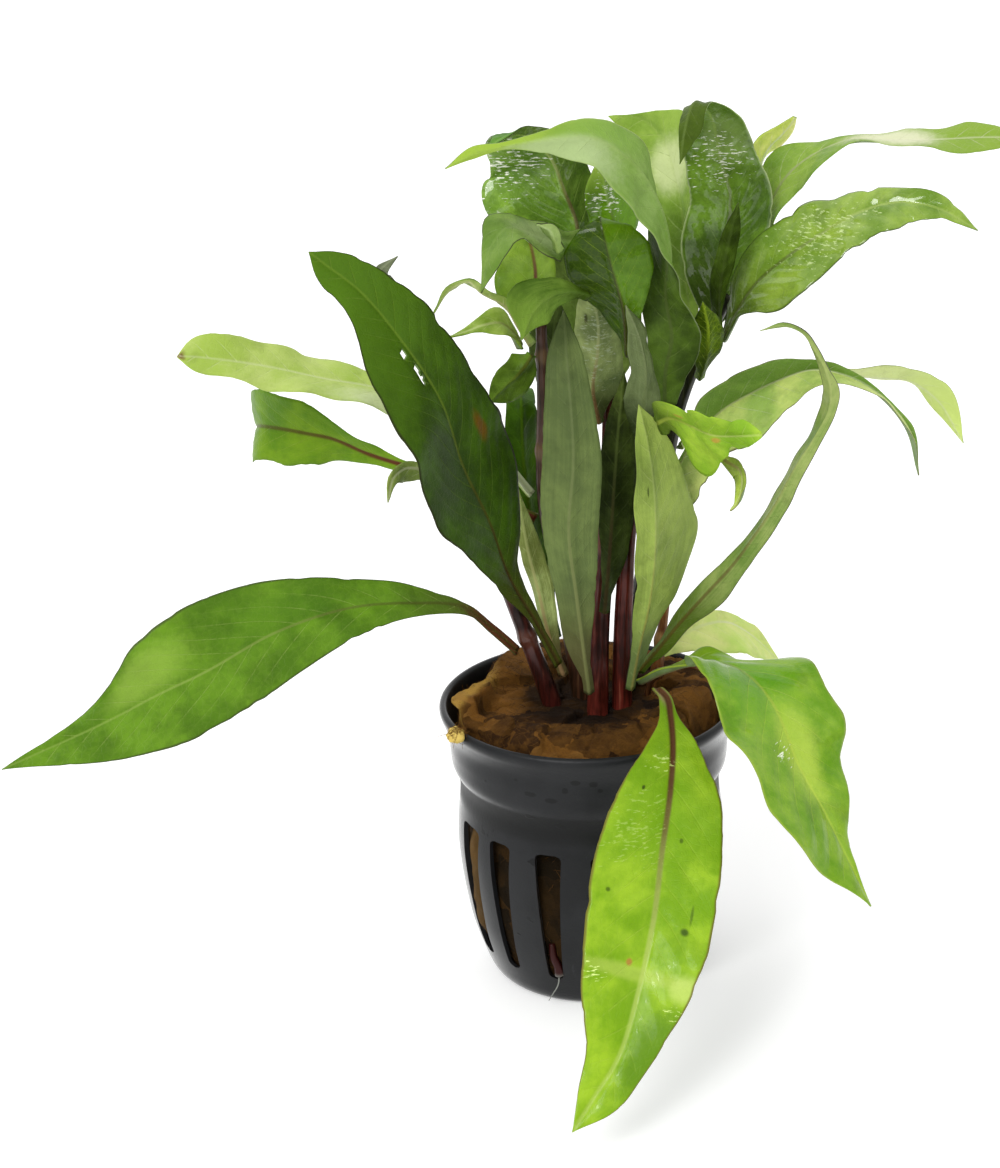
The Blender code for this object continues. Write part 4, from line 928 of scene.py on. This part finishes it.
leaf("leaf_right_front", "leaf_mid",
     skin("right_front_face", "8fb62a", "679919", rib="788e24", vein="c8de53", foot="758e1f",
          edge="9bb43f", veins=0.20, rough=0.36, shine=0.35,
          # The pale patch at 0.62 of the length is a painted highlight, as is the glint.
          patches=[(0.1, 0.45, 0.8, 0.16, "569910", 0.55), (-0.1, 0.62, 0.4, 0.16, "cce455", 0.5)],
          glints=[(0.2, 0.62, 0.25, 0.04, 0.8)]), sage_back, [
    (8.9, -3.8, 55.6, 0, 0, 0), (12, -8, 59, 0, 0, 0), (17, -14, 63, 3, 1, -20),
    (21, -19, 65, 4.5, 7, 10), (25, -24, 65, 11, 10, 10), (29, -30, 62, 10.3, 11.4, -5),
    (30.7, -33.2, 58.6, 11.2, 12.6, 0), (32, -36, 55, 10, 12, 5), (36, -41, 48, 5.7, 13, 10),
    (40, -45, 40, 1.2, 6.5, 10), (43, -48, 34, 0, 0, 15)], pitch=5.4, quilt=0.25, ruffle=0.8)
# A pale young leaf lit through from behind: the light through it is painted into its colours.
leaf("leaf_back_low_right", "leaf_backlit",
     skin("back_low_face", "e6ef95", "c8e672", rib="d8e693", vein="efefd5", veins=0.17), pale_back, [
    (12, 8, 54, 0, 0, -55), (16, 12, 56, 1, 2.5, -65), (21, 16, 57, 2.6, 5, -60),
    (26, 20, 56, 2.1, 7, -45), (31, 23, 52, 2.6, 6.5, -40), (36.8, 24, 45.5, 0, 0, -60)])
leaf("leaf_ribbon", "leaf_sage",
     skin("ribbon_face", "8fb040", "6d9430", rib="8aa04c", vein="b4c88c", edge="3e3440", veins=0.10),
     skin("ribbon_back", "a5b667", "70903e", rib="5c401e", vein="bbc77c", foot="5a7220", edge="4d443e",
          veins=0.10, sheen_streaks=0.35, raised=1), [
    (9, -3, 57, 0, 0, 70), (12, -4, 61, 1.5, 0.5, 70), (16, -6, 67, 1.8, 2, 70),
    (20, -9, 73, 3.1, 2.4, 75), (25, -12, 80, 2.1, 2.2, 85), (28, -14.5, 85.5, 2, 2, 95),
    (31, -17, 91.5, 1.9, 2.8, 100), (34, -19, 98.5, 1.6, 3.3, 105), (37, -20, 104, 1.1, 3, 100),
    (39, -21, 109, 1, 2.8, 80), (39, -22, 112, 1.3, 1.7, 60), (38, -23, 116, 0.5, 1.5, 60),
    (36, -24, 120, 0.5, 1, 75), (34, -25, 123, 0.5, 0.5, 90), (31, -26, 124.5, 0.5, 0.5, 95),
    (27, -27, 124, 0, 0, 95)], fold=25, pitch=3.4, quilt=0.05, ruffle=0.15, notch=0.05)

# Leaves round the stems in the middle. They stand upright with their backs to the front, so it is
# their sage undersides that show, each with a raised pale or reddish midrib.

leaf("leaf_sage_right", "leaf_sage", green_face,
     skin("sage_right_back", "a4ba58", "859b47", rib="92813f", vein="beca82", foot="62753f", veins=0.20,
          bold=0.45, ribs=0.4, sheen_streaks=0.35, raised=1, rough=0.5,
          patches=[(0.25, 0.72, 0.05, 0.02, "3f4f1d", 0.9), (-0.1, 0.3, 0.05, 0.02, "3f4f1d", 0.8)]), [
    (7, -8, 56, 0, 0, 5), (8, -9, 63, 3, 1, -10), (10, -11, 73, 6.8, 2.5, -10),
    (11, -12, 83, 12.2, 3.5, -20), (11, -12, 93, 8, 3.5, -15), (10, -11, 102, 5, 2, -15),
    (9, -9, 107, 0, 0, 0)], lean=20, pitch=4.6)
leaf("leaf_sage_centre", "leaf_sage", green_face,
     skin("sage_centre_back", "708147", "58683a", rib="858b56", vein="798556", foot="5b5b35",
          veins=0.12, bold=0.6, ribs=0.45, sheen_streaks=0.35, raised=1, rough=0.5), [
    (0, -9, 56, 0, 0, 0), (-1, -11, 66, 1.5, 3, 0), (-2, -13, 76, 3.5, 3.5, 0),
    (-3, -14, 87, 5, 4.5, 0), (-2, -14, 100, 4.8, 5.1, -5), (-2.2, -12.5, 109.4, 3.7, 4.2, -5),
    (-2.6, -10, 117, 2.6, 2.9, -5), (-2.8, -7.5, 123, 0, 0, -10)], lean=0)
leaf("leaf_wrinkled_sage", "leaf_sage", green_face,
     skin("wrinkled_back", "bfcf83", "81925a", rib="9c6949", vein="e8efac", foot="586130", raised=1,
          rough=0.52, patches=[(0.5, 0.8, 0.1, 0.05, "3f3e24", 0.8)], glints=[(0, 0.6, 1.3, 0.5, 0.4)],
          glint="dfe7ca"), [
    (3, 1, 101, 0, 0, 0), (2, 0.5, 107, 5, 1, -5), (3, 0, 114, 4, 3.5, 5), (3, -0.5, 119.5, 2.5, 4, 0),
    (2, -1.5, 124, 1, 2, 10)], lean=0, pitch=2.6, quilt=0.35)
leaf("leaf_small_sage", "leaf_sage", green_face,
     skin("small_sage_back", "859561", "68774a", rib="71804d", vein="9ea979", foot="303c1b", sheen_streaks=0.35,
          raised=1), [
    (10, -5.6, 100, 1.4, 1.4, -5), (10, -6, 106, 3, 3.2, -5), (10, -8, 112, 2.8, 3, -45),
    (9, -10, 118.5, 3, 2.5, -55), (7, -11, 124.5, 0, 0, -40)], lean=0, pitch=3.0)
leaf("leaf_dark_centre", "leaf_dark", green_face,
     skin("dark_centre_back", "5c6e2c", "2a3511", rib="584429", vein="6f813c", raised=1, rough=0.5), [
    (3, -5, 69, 0, 0, 0), (4, -5, 79, 3, 1.5, 0), (5, -5, 92, 4, 2.5, -5), (6, -5, 103, 3.2, 2, -5),
    (7, -5.4, 111.8, 0, 0, -5)], lean=0)
leaf("leaf_shaded_crown", "leaf_dark", green_face,
     skin("shaded_crown_back", "657b34", "42531d", rib="5d422e", vein="788d48", raised=1, rough=0.5), [
    (-4, 9, 95.5, 0, 0, 10), (-4, 9, 102.5, 2.5, 2.5, 15), (-4, 8.5, 109.5, 2.5, 4.5, 15),
    (-4, 7.5, 116, 3, 3.5, 0), (-3, 6.5, 121, 0, 0, 0)], lean=0)
leaf("leaf_dark_behind", "leaf_dark", green_face,
     skin("dark_behind_back", "acca62", "607531", rib="5d4e2b", vein="c2dd7e", raised=1), [
    (3, 11, 100, 0, 0, 0), (3, 12, 108, 6.5, 4, 0), (3, 13, 118, 8.4, 6.5, 0), (2, 12, 128, 8.6, 7, 0),
    (1, 10.5, 136, 3, 5, 0), (1, 9.5, 141, 0, 0, 0)], lean=0)

# Leaves on the right. Two glossy quilted blades stand at the top, a long thin one reaches past the
# edge, one is folded along its midrib like a gutter, and small ragged and curled ones sit below.

leaf("leaf_glossy_top", "leaf_dark",
     skin("glossy_top_face", "7aa231", "47671f", rib="4f5825", vein="b0cb6d", foot="455d1f",
          tip="6a8f1f", edge="b0c37f", veins=0.15, rough=0.3, shine=1.0, blister=1.0,
          # The pale patch at 0.6 of the length is a painted sheen where the blade catches the light.
          patches=[(0.3, 0.6, 0.8, 0.12, "b0cd74", 0.4), (-0.5, 0.1, 0.6, 0.2, "3b4e16", 0.5)],
          glints=[(-0.1, 0.53, 1.3, 0.13, 1.0)]),
     skin("glossy_top_back", "50671a", "3e5412", rib="46581c", vein="7a9048", raised=1), [
    (22.6, 9.2, 113.3, 0, 0, 0), (24, 10, 119, 4.5, 3.5, 0), (25, 10.5, 128, 7.5, 6.5, 0),
    (26, 10, 136, 7, 7, 0), (24, 7, 144, 6, 6, 0), (22, 2, 152, 4.5, 5, 10),
    (19, -4, 155, 2.1, 2.5, -15), (17, -9, 152, 1, 2.5, 0), (16, -11, 147, 0, 0, 0)],
     lean=180, pitch=3.6, quilt=0.3)
leaf("leaf_glossy_right", "leaf_mid",
     skin("glossy_right_face", "98b640", "6a8e28", rib="485019", vein="b6cb6d", foot="4f661d",
          edge="485828", veins=0.23, rough=0.3, shine=1.0, blister=0.8,
          glints=[(0, 0.5, 1.2, 0.25, 0.55)], glint="daeaa9"), sage_back, [
    (24, 3.2, 114, 0.3, 0.3, -50), (26.4, 1.6, 119.4, 3, 1.4, -50), (29, 0, 124, 5.5, 6.7, -55),
    (34, -2, 129, 6.5, 9.1, -50), (39, -4, 133, 6.4, 7.8, -50), (45, -6, 137, 4.1, 6.6, -45),
    (51, -8, 139, 2.8, 5.5, -45), (57, -10, 138.3, 2.3, 2.2, -50), (63.2, -12.2, 135, 0, 0, -50)],
     pitch=4.0, quilt=0.3, notch=0.5)
leaf("leaf_long_right", "leaf_mid",
     skin("long_right_face", "95b549", "709533", rib="818a51", vein="ecebcc", foot="6c8d2b",
          tip="8ead40", patches=[(0, 0.66, 1.2, 0.14, "eaebc8", 0.85)]), sage_back, [
    (26.4, 11.4, 117.6, 0, 0, -25), (30, 13, 122, 1, 2, -35), (32, 14, 131, 2.5, 4, -25),
    (36, 14, 139, 6, 5.6, -30), (41, 13, 143, 3.7, 8.3, -10), (46, 12, 145, 1.5, 3.6, -5),
    (53, 11, 145, 3.5, 3.6, -5), (61, 10, 145, 3.4, 4.5, -20), (66.5, 9, 145.3, 3.6, 4.2, -30),
    (74.5, 7.4, 145.4, 0, 0, -50)], pitch=4.4)
leaf("leaf_vfold_right", "leaf_mid",
     # One half is painted darker, as the shaded side of the fold.
     skin("vfold_face", "d8e882", "a4c460", rib="cbd68a", vein="e9eecb", half=(-1, "6e953b", 0.9),
          edge="6a6548"), sage_back, [
    (13, 3, 80, 0, 0, -110), (15, 3, 88, 1, 6, -110), (19, 2, 97, 2, 6.8, -110),
    (24, 0, 103, 7, 9, -95), (28, -2, 106, 7.4, 10.6, -90), (33, -4, 109, 7.2, 7.4, -90),
    (38, -6, 111, 3.2, 6.4, -75), (44.5, -9, 110, 1.2, 6, -40), (48.8, -10, 107.2, 0.6, 5, -30),
    (52.8, -12, 102.2, 1, 4, -25), (54.6, -14, 94.8, 0, 0, -25)], fold=55, pitch=4.2, notch=0.4)
# A pale young leaf lit through from behind: the light through it is painted into its colours.
leaf("leaf_pale_right", "leaf_backlit", young_green,
     skin("pale_right_back", "e6f0b4", "e2eea2", rib="d8e394", vein="f0f3d2", foot="c7d696",
          tip="d6eb82", veins=0.15, raised=1), [
    (16.8, 7.5, 94.2, 0, 0, 45), (21, 13, 96, 0, 0, 45), (28, 16, 100, 1, 0.5, 50),
    (37, 19, 103, 2.5, 0.5, 50), (46, 21, 102, 3, 1.3, 45), (53, 22, 101, 3.4, 3.1, 35),
    (59.5, 23, 99.5, 1.8, 3.4, 35), (63.7, 23, 96.2, 2.6, 3.3, 40), (68.5, 22, 88, 0, 0, 45)], pitch=4.4)
leaf("leaf_bright_ragged", "leaf_sunlit",
     skin("bright_ragged_face", "b6d946", "8bba2d", rib="a4b349", vein="e2eb93", foot="526b1e",
          veins=0.15, patches=[(0.2, 0.62, 0.12, 0.05, "da8d49", 0.6),
          (-0.4, 0.3, 0.12, 0.05, "c47c49", 0.5)]), sage_back, [
    (12, -10, 104, 1.8, 2, -100), (14, -13.5, 106, 4, 4.4, -115), (17, -18, 106, 3.6, 9.8, -115),
    (20, -23, 106, 6.5, 5, -125), (24, -27, 107, 5, 2.5, -125), (27, -30, 108, 0.5, 0.5, -80)],
     pitch=3.6, notch=1.2)
leaf("leaf_curled_right", "leaf_mid",
     skin("curled_face", "c6df5b", "90a940", rib="8f7949", vein="efefb9", edge="7a7152"), sage_back, [
    (21, -14, 100, 0, 0, -80), (23, -16, 99, 1, 1.1, -75), (25, -18, 98, 2, 2.4, -90),
    (25, -19, 95, 2, 2, -90), (24, -20, 93, 0.5, 0.5, -90), (23, -20, 92, 0, 0, -100)], pitch=2.4)
# A leaf lit through from behind: its brightness is partly painted light.
leaf("leaf_back_crown", "leaf_backlit",
     skin("back_crown_face", "9dbd4e", "789b31", rib="88994c", vein="c3d87d", bold=0.2,
          patches=[(-0.1, 0.62, 0.9, 0.12, "dbe8a6", 0.9), (0, 0.28, 1.2, 0.2, "4b681a", 0.8)]),
     pale_back, [
    (20, 11, 113, 0, 0, 45), (19, 15, 120, 2.5, 3, 50), (19, 18, 128, 4.5, 5.5, 70),
    (18, 21, 136, 6, 8, 80), (16, 25, 143, 5.5, 7.5, 70), (13, 29, 146, 5, 1.6, 70),
    (7, 34, 146, 0, 0, 65)], pitch=4.4)
# A young leaf lit through from behind: the light through it is painted into its pale colours.
leaf("leaf_yellow_tip", "leaf_backlit", young_green,
     skin("yellow_tip_back", "efef8f", "bcd94a", rib="efedac", vein="efefef", raised=1), [
    (23.6, 12.4, 114.8, 0, 0, 80), (26, 14.8, 120, 0.3, 0.3, 80), (28, 17, 126, 0.8, 0.6, 80),
    (30, 18, 131, 1.8, 1.3, 75), (31, 20, 137, 2.8, 2, 65), (33, 21, 142, 2.8, 3, 65),
    (36, 21, 145, 2.4, 1.8, 85), (37.8, 20, 147.6, 0.4, 0.4, 90)], pitch=3.0)
leaf("leaf_small_dark", "leaf_dark", green_face,
     skin("small_dark_back", "57721f", "293908", rib="2a2b08", vein="57701d", bold=0.25, raised=1), [
    (23, 2, 116, 0, 0, 0), (23, 0, 123, 1.5, 1.5, -5), (24, -2, 130, 2, 1.5, -5),
    (25, -3, 135, 1.5, 1, -5), (26, -4, 139, 0, 0, -5)], lean=0, pitch=3.0)
leaf("leaf_cupped_young", "leaf_mid", green_face,
     skin("cupped_young_back", "81a519", "425810", rib="495d13", vein="c4e139", veins=0.7, raised=1), [
    (20, 2, 108, 0, 0, 5), (21, -1, 114, 2.8, 2.9, -5), (21, -3, 118, 2.5, 2.7, -5),
    (20, -5, 123, 0, 0, 0)], lean=0, fold=15, pitch=1.9, quilt=0.2)

# Crown. Young leaves crowd round the tips of the tall stems and shade each other: one arches over
# the top to the left, one is bright on its right half and dark on the left, where the shade is
# painted, and small ones point forward between them.

leaf("leaf_arch_crown", "leaf_mid",
     skin("arch_crown_face", "62802a", "3a4f18", rib="5a6a34", vein="93a860", edge="8a9a6a", veins=0.20),
     skin("arch_crown_back", "98b861", "7b9f43", rib="859d4f", vein="b9d081", foot="536d1d",
          tip="a6c646", edge="a8c26e", veins=0.10, sheen_streaks=0.35, raised=1, rough=0.45, bold=0.2,
          # The pale patch at 0.76 of the length is a painted sheen along the lower edge.
          patches=[(0.5, 0.76, 0.9, 0.15, "bfd29c", 0.7), (-0.6, 0.68, 0.6, 0.12, "86b046", 0.6)]), [
    (14, 0, 104, 2.4, 2, -225), (14, -2, 110, 4.2, 3.8, -225), (15, -4, 117, 4, 5, -215),
    (14, -6, 124, 5, 5, -180), (14, -10, 132, 5.5, 5.5, -150), (12, -15, 141.5, 6, 6, -120),
    (8, -20, 149, 6.5, 6.5, -112), (2, -24, 154, 4, 4.5, -115), (-6, -28, 155, 1.5, 1.8, -100),
    (-12.2, -31.6, 155.2, 0.6, 0.6, -90), (-16.6, -33.9, 154.7, 1, 0.9, -90),
    (-20.6, -35.9, 153.1, 0, 0, -90)], pitch=4.2)
leaf("leaf_left_crown", "leaf_sage",
     skin("left_crown_face", "89a650", "678934", rib="899a5b", vein="b2c87e", edge="3a2c2f", veins=0.15,
          # The pale patch is a painted whitish sheen.
          rough=0.36, bold=0.15, patches=[(0.1, 0.45, 0.9, 0.2, "b2c489", 0.5)]), sage_back, [
    (4, -3.4, 130.8, 0, 0, 70), (1.5, -4.4, 133.8, 1.5, 1.5, 75), (-2, -6.4, 134.3, 2, 1.5, 65),
    (-6, -10.6, 135.9, 5.5, 3, 40), (-9, -14, 138, 7, 2.5, 35), (-12, -17, 139, 4.5, 4, 20),
    (-14, -19, 137, 4.5, 2, 5), (-16, -21, 130, 0, 0, 5)], pitch=3.6)
leaf("leaf_block_crown", "leaf_dark", green_face,
     # One half is painted darker: painted shade.
     skin("block_crown_back", "99c345", "608828", rib="6e4a3c", vein="d3ef7d", half=(-1, "546d26", 0.7),
          veins=0.20, rough=0.32, shine=1.0, blister=1.0, glints=[(0.6, 0.6, 0.9, 0.28, 0.9)]), [
    (0, 6, 127, 0, 0, 0), (0, 6, 134, 4.5, 7, -10), (-2, 5, 140, 5.5, 12.9, -15),
    (-4, 3, 146, 4, 11.7, 0), (-8, 0, 150.4, 2.3, 8, -15), (-11, -5, 151.3, 1.5, 2.9, -20),
    (-14, -9, 150.3, 0, 0, -5)], lean=0, pitch=3.4, quilt=0.3)
leaf("leaf_bright_crown", "leaf_mid", green_face,
     skin("bright_crown_back", "649011", "4b700b", rib="422713", rib_tip="3c3910", vein="90ac2d",
          # One half is painted dark as painted shade.
          veins=0.45, rough=0.34, shine=0.3, blister=0.4, half=(1, "283c05", 0.8)), [
    (8, -3, 114, 0, 0, 30), (7, -8, 123.5, 3.5, 6, 15), (5, -11, 131, 7, 7.5, 0),
    (4, -12, 135.5, 5.5, 6.5, 5), (3.5, -11, 138, 3, 3.5, 5), (3.5, -9.5, 138.5, 0, 0, 5)],
     lean=0, pitch=2.8, quilt=0.25)
leaf("leaf_red_rib_crown", "leaf_backlit",
     skin("red_rib_face", "92b43b", "668926", rib="613026", vein="b6cc65", rib_tip="723f2a", ribs=0.55,
          bold=0.95, blister=0.3, shine=0.2), sage_back, [
    (-6, 2, 119, 0, 0, 0), (-7, 1, 123, 5.8, 2.5, 0), (-7, 1, 128, 6.6, 3.5, 10),
    (-8, 1, 133, 4, 2.5, 0), (-10, 0, 137, 0, 0, 0)], lean=180, pitch=3.0)
leaf("leaf_forward_crown", "leaf_mid", young_green,
     skin("forward_back", "739235", "476718", rib="567625", vein="94ab52", foot="384e0a", tip="799a35",
          bold=0.25, veins=0.15, sheen_streaks=0.35, raised=1, rough=0.45), [
    (1, -12, 126.5, 0, 0, -100), (-2, -14, 128, 1.5, 2, -95), (-5, -16, 128, 3, 3, -100),
    (-8, -18, 126, 5, 3.5, -105), (-10, -20, 122, 0, 1, -60)], pitch=3.0)
leaf("leaf_small_glossy", "leaf_mid", green_face,
     skin("small_glossy_back", "71a31c", "567c13", rib="4e6a13", vein="9ec249", tip="a8ca54", rough=0.3,
          shine=1.0, blister=0.8, glints=[(0, 0.55, 1.2, 0.3, 0.8)]), [
    (6, 4, 129, 0, 0, -20), (6, 5, 134, 5.4, 3.6, -20), (5, 5, 138, 5, 4, -30), (4, 3, 146, 0, 0, 0)],
     lean=0, pitch=2.6)
leaf("leaf_shoot_tip", "leaf_sunlit", green_face,
     skin("shoot_tip_back", "a5be70", "82a349", rib="91aa56", vein="c5d79d", raised=1), [
    (-3.5, -15, 135, 0, 0, -35), (-4, -16, 137, 1, 1, -30), (-5, -17, 139, 1, 1.5, -35),
    (-7, -18, 140, 0, 0, -40)], pitch=2.2)

# Roots. A red root tip has grown down inside the wall and shows in a front slot, and one pale
# thread hangs out of the slot's foot.


ROOT_RADII, THREAD_RADII, ROOT_ROWS = (0.55, 0.85), (0.14, 0.07), 24


def root_mesh():
    tip = eased([(-7.8, -19.0, 13), (-7.5, -19.4, 10.5), (-6.8, -19.4, 8.6), (-6.6, -19.3, 7.0)], ROOT_ROWS)
    thread = eased([(-6.6, -19.3, 7.6), (-6.9, -19.9, 5.4), (-7.9, -19.4, 3.2), (-8.6, -18.8, 1.6)],
                   ROOT_ROWS)
    return strands_mesh("root", [strand(tip, np.linspace(*ROOT_RADII, ROOT_ROWS), 10),
                                 strand(thread, np.linspace(*THREAD_RADII, ROOT_ROWS), 8)])


def root_skin():
    material, new, dress = surface("root", Specular_IOR_Level=0.2)
    place = new.node("TexCoord", output=3)
    z = new.node("SeparateXYZ", None, {0: place}, 2)
    dress(Base_Color=z.rise(0.0062, 0.0078).blend(rgb("8d8f88"), rgb("330c09")),
          Roughness=place.noise(900, 2) * 0.2 + 0.35)
    return material


add_piece("root_tip", root_mesh(), [root_skin()], "stem_skin")

# Floor and light. A pale sweep under and behind the pot, one large soft light high at the left
# front with a small bright one beside it, a weaker one at the right, and a white room all round.

REACH = 6
floor_mesh = bpy.data.meshes.new("floor")
floor_mesh.from_pydata([(-REACH, -REACH, 0), (REACH, -REACH, 0), (REACH, REACH, 0), (-REACH, REACH, 0)],
                       [], [(0, 1, 2, 3)])
floor = bpy.data.objects.new("floor", floor_mesh)
bpy.context.scene.collection.objects.link(floor)
floor_paint, new, dress = surface("floor_paint", Roughness=0.9, Specular_IOR_Level=0.1,
                                  Emission_Color=(1.0, 1.0, 1.0), Emission_Strength=0.34)
grain = new.node("TexCoord", output=3).noise(40, 2)
dress(Base_Color=grain.blend(rgb("f4f4f3"), rgb("f8f8f8")))
floor_mesh.materials.append(floor_paint)

room = bpy.data.worlds.new("white_room")
room.use_nodes = True
sky = Wire(room.node_tree)
depth, height = (sky.node("SeparateXYZ", None, {0: sky.node("TexCoord", output=0)}, k) for k in (1, 2))
shade = height.node("ValToRGB", {"stops": [(0.0, (0.5, 0.5, 0.5)), (0.25, (0.7, 0.7, 0.7)),
                                           (1.0, (1.15, 1.15, 1.16))]}, {0: height})
glow = depth.rise(-0.9, 0.9) * 0.85 + 0.5
lit = sky.node("VectorMath", {"operation": "SCALE"}, {0: shade, "Scale": glow})
room.node_tree.links.new(lit.socket, room.node_tree.nodes["Background"].inputs["Color"])
bpy.context.scene.world = room

# Each lamp's turn, power and how wide it looks.
LAMPS = (("key", (50, 0, -30), 1.8, 26), ("fill", (55, 0, 50), 0.3, 40), ("spark", (48, 0, -24), 0.14, 3))
for name, turn, power, angle in LAMPS:
    lamp = bpy.data.lights.new(name, "SUN")
    lamp.energy, lamp.angle = power, math.radians(angle)
    stand = bpy.data.objects.new(name, lamp)
    stand.rotation_euler = [math.radians(a) for a in turn]
    bpy.context.scene.collection.objects.link(stand)

# Camera. Slightly above the crown and tipped down, turned a little about its own axis.

AIM, DISTANCE, SENSOR, FOCAL_LENGTH = (-14.6, 0, 72.8), 450, 36, 80.753
elevation, bank = math.radians(21.4), math.radians(-2.0)
ahead = Vector((0, math.cos(elevation), -math.sin(elevation)))
right, upward = Vector((1, 0, 0)), Vector((0, math.sin(elevation), math.cos(elevation)))
turned_right = math.cos(bank) * right + math.sin(bank) * upward
turned_up = math.cos(bank) * upward - math.sin(bank) * right
lens = bpy.data.cameras.new("camera")
lens.sensor_width, lens.lens = SENSOR, FOCAL_LENGTH
camera = bpy.data.objects.new("camera", lens)
pose = Matrix((turned_right, turned_up, -ahead)).transposed().to_4x4()
pose.translation = Vector(AIM) * MM - DISTANCE * MM * ahead
camera.matrix_world = pose
bpy.context.scene.collection.objects.link(camera)
bpy.context.scene.camera = camera
bpy.context.scene.view_settings.view_transform = "Standard"
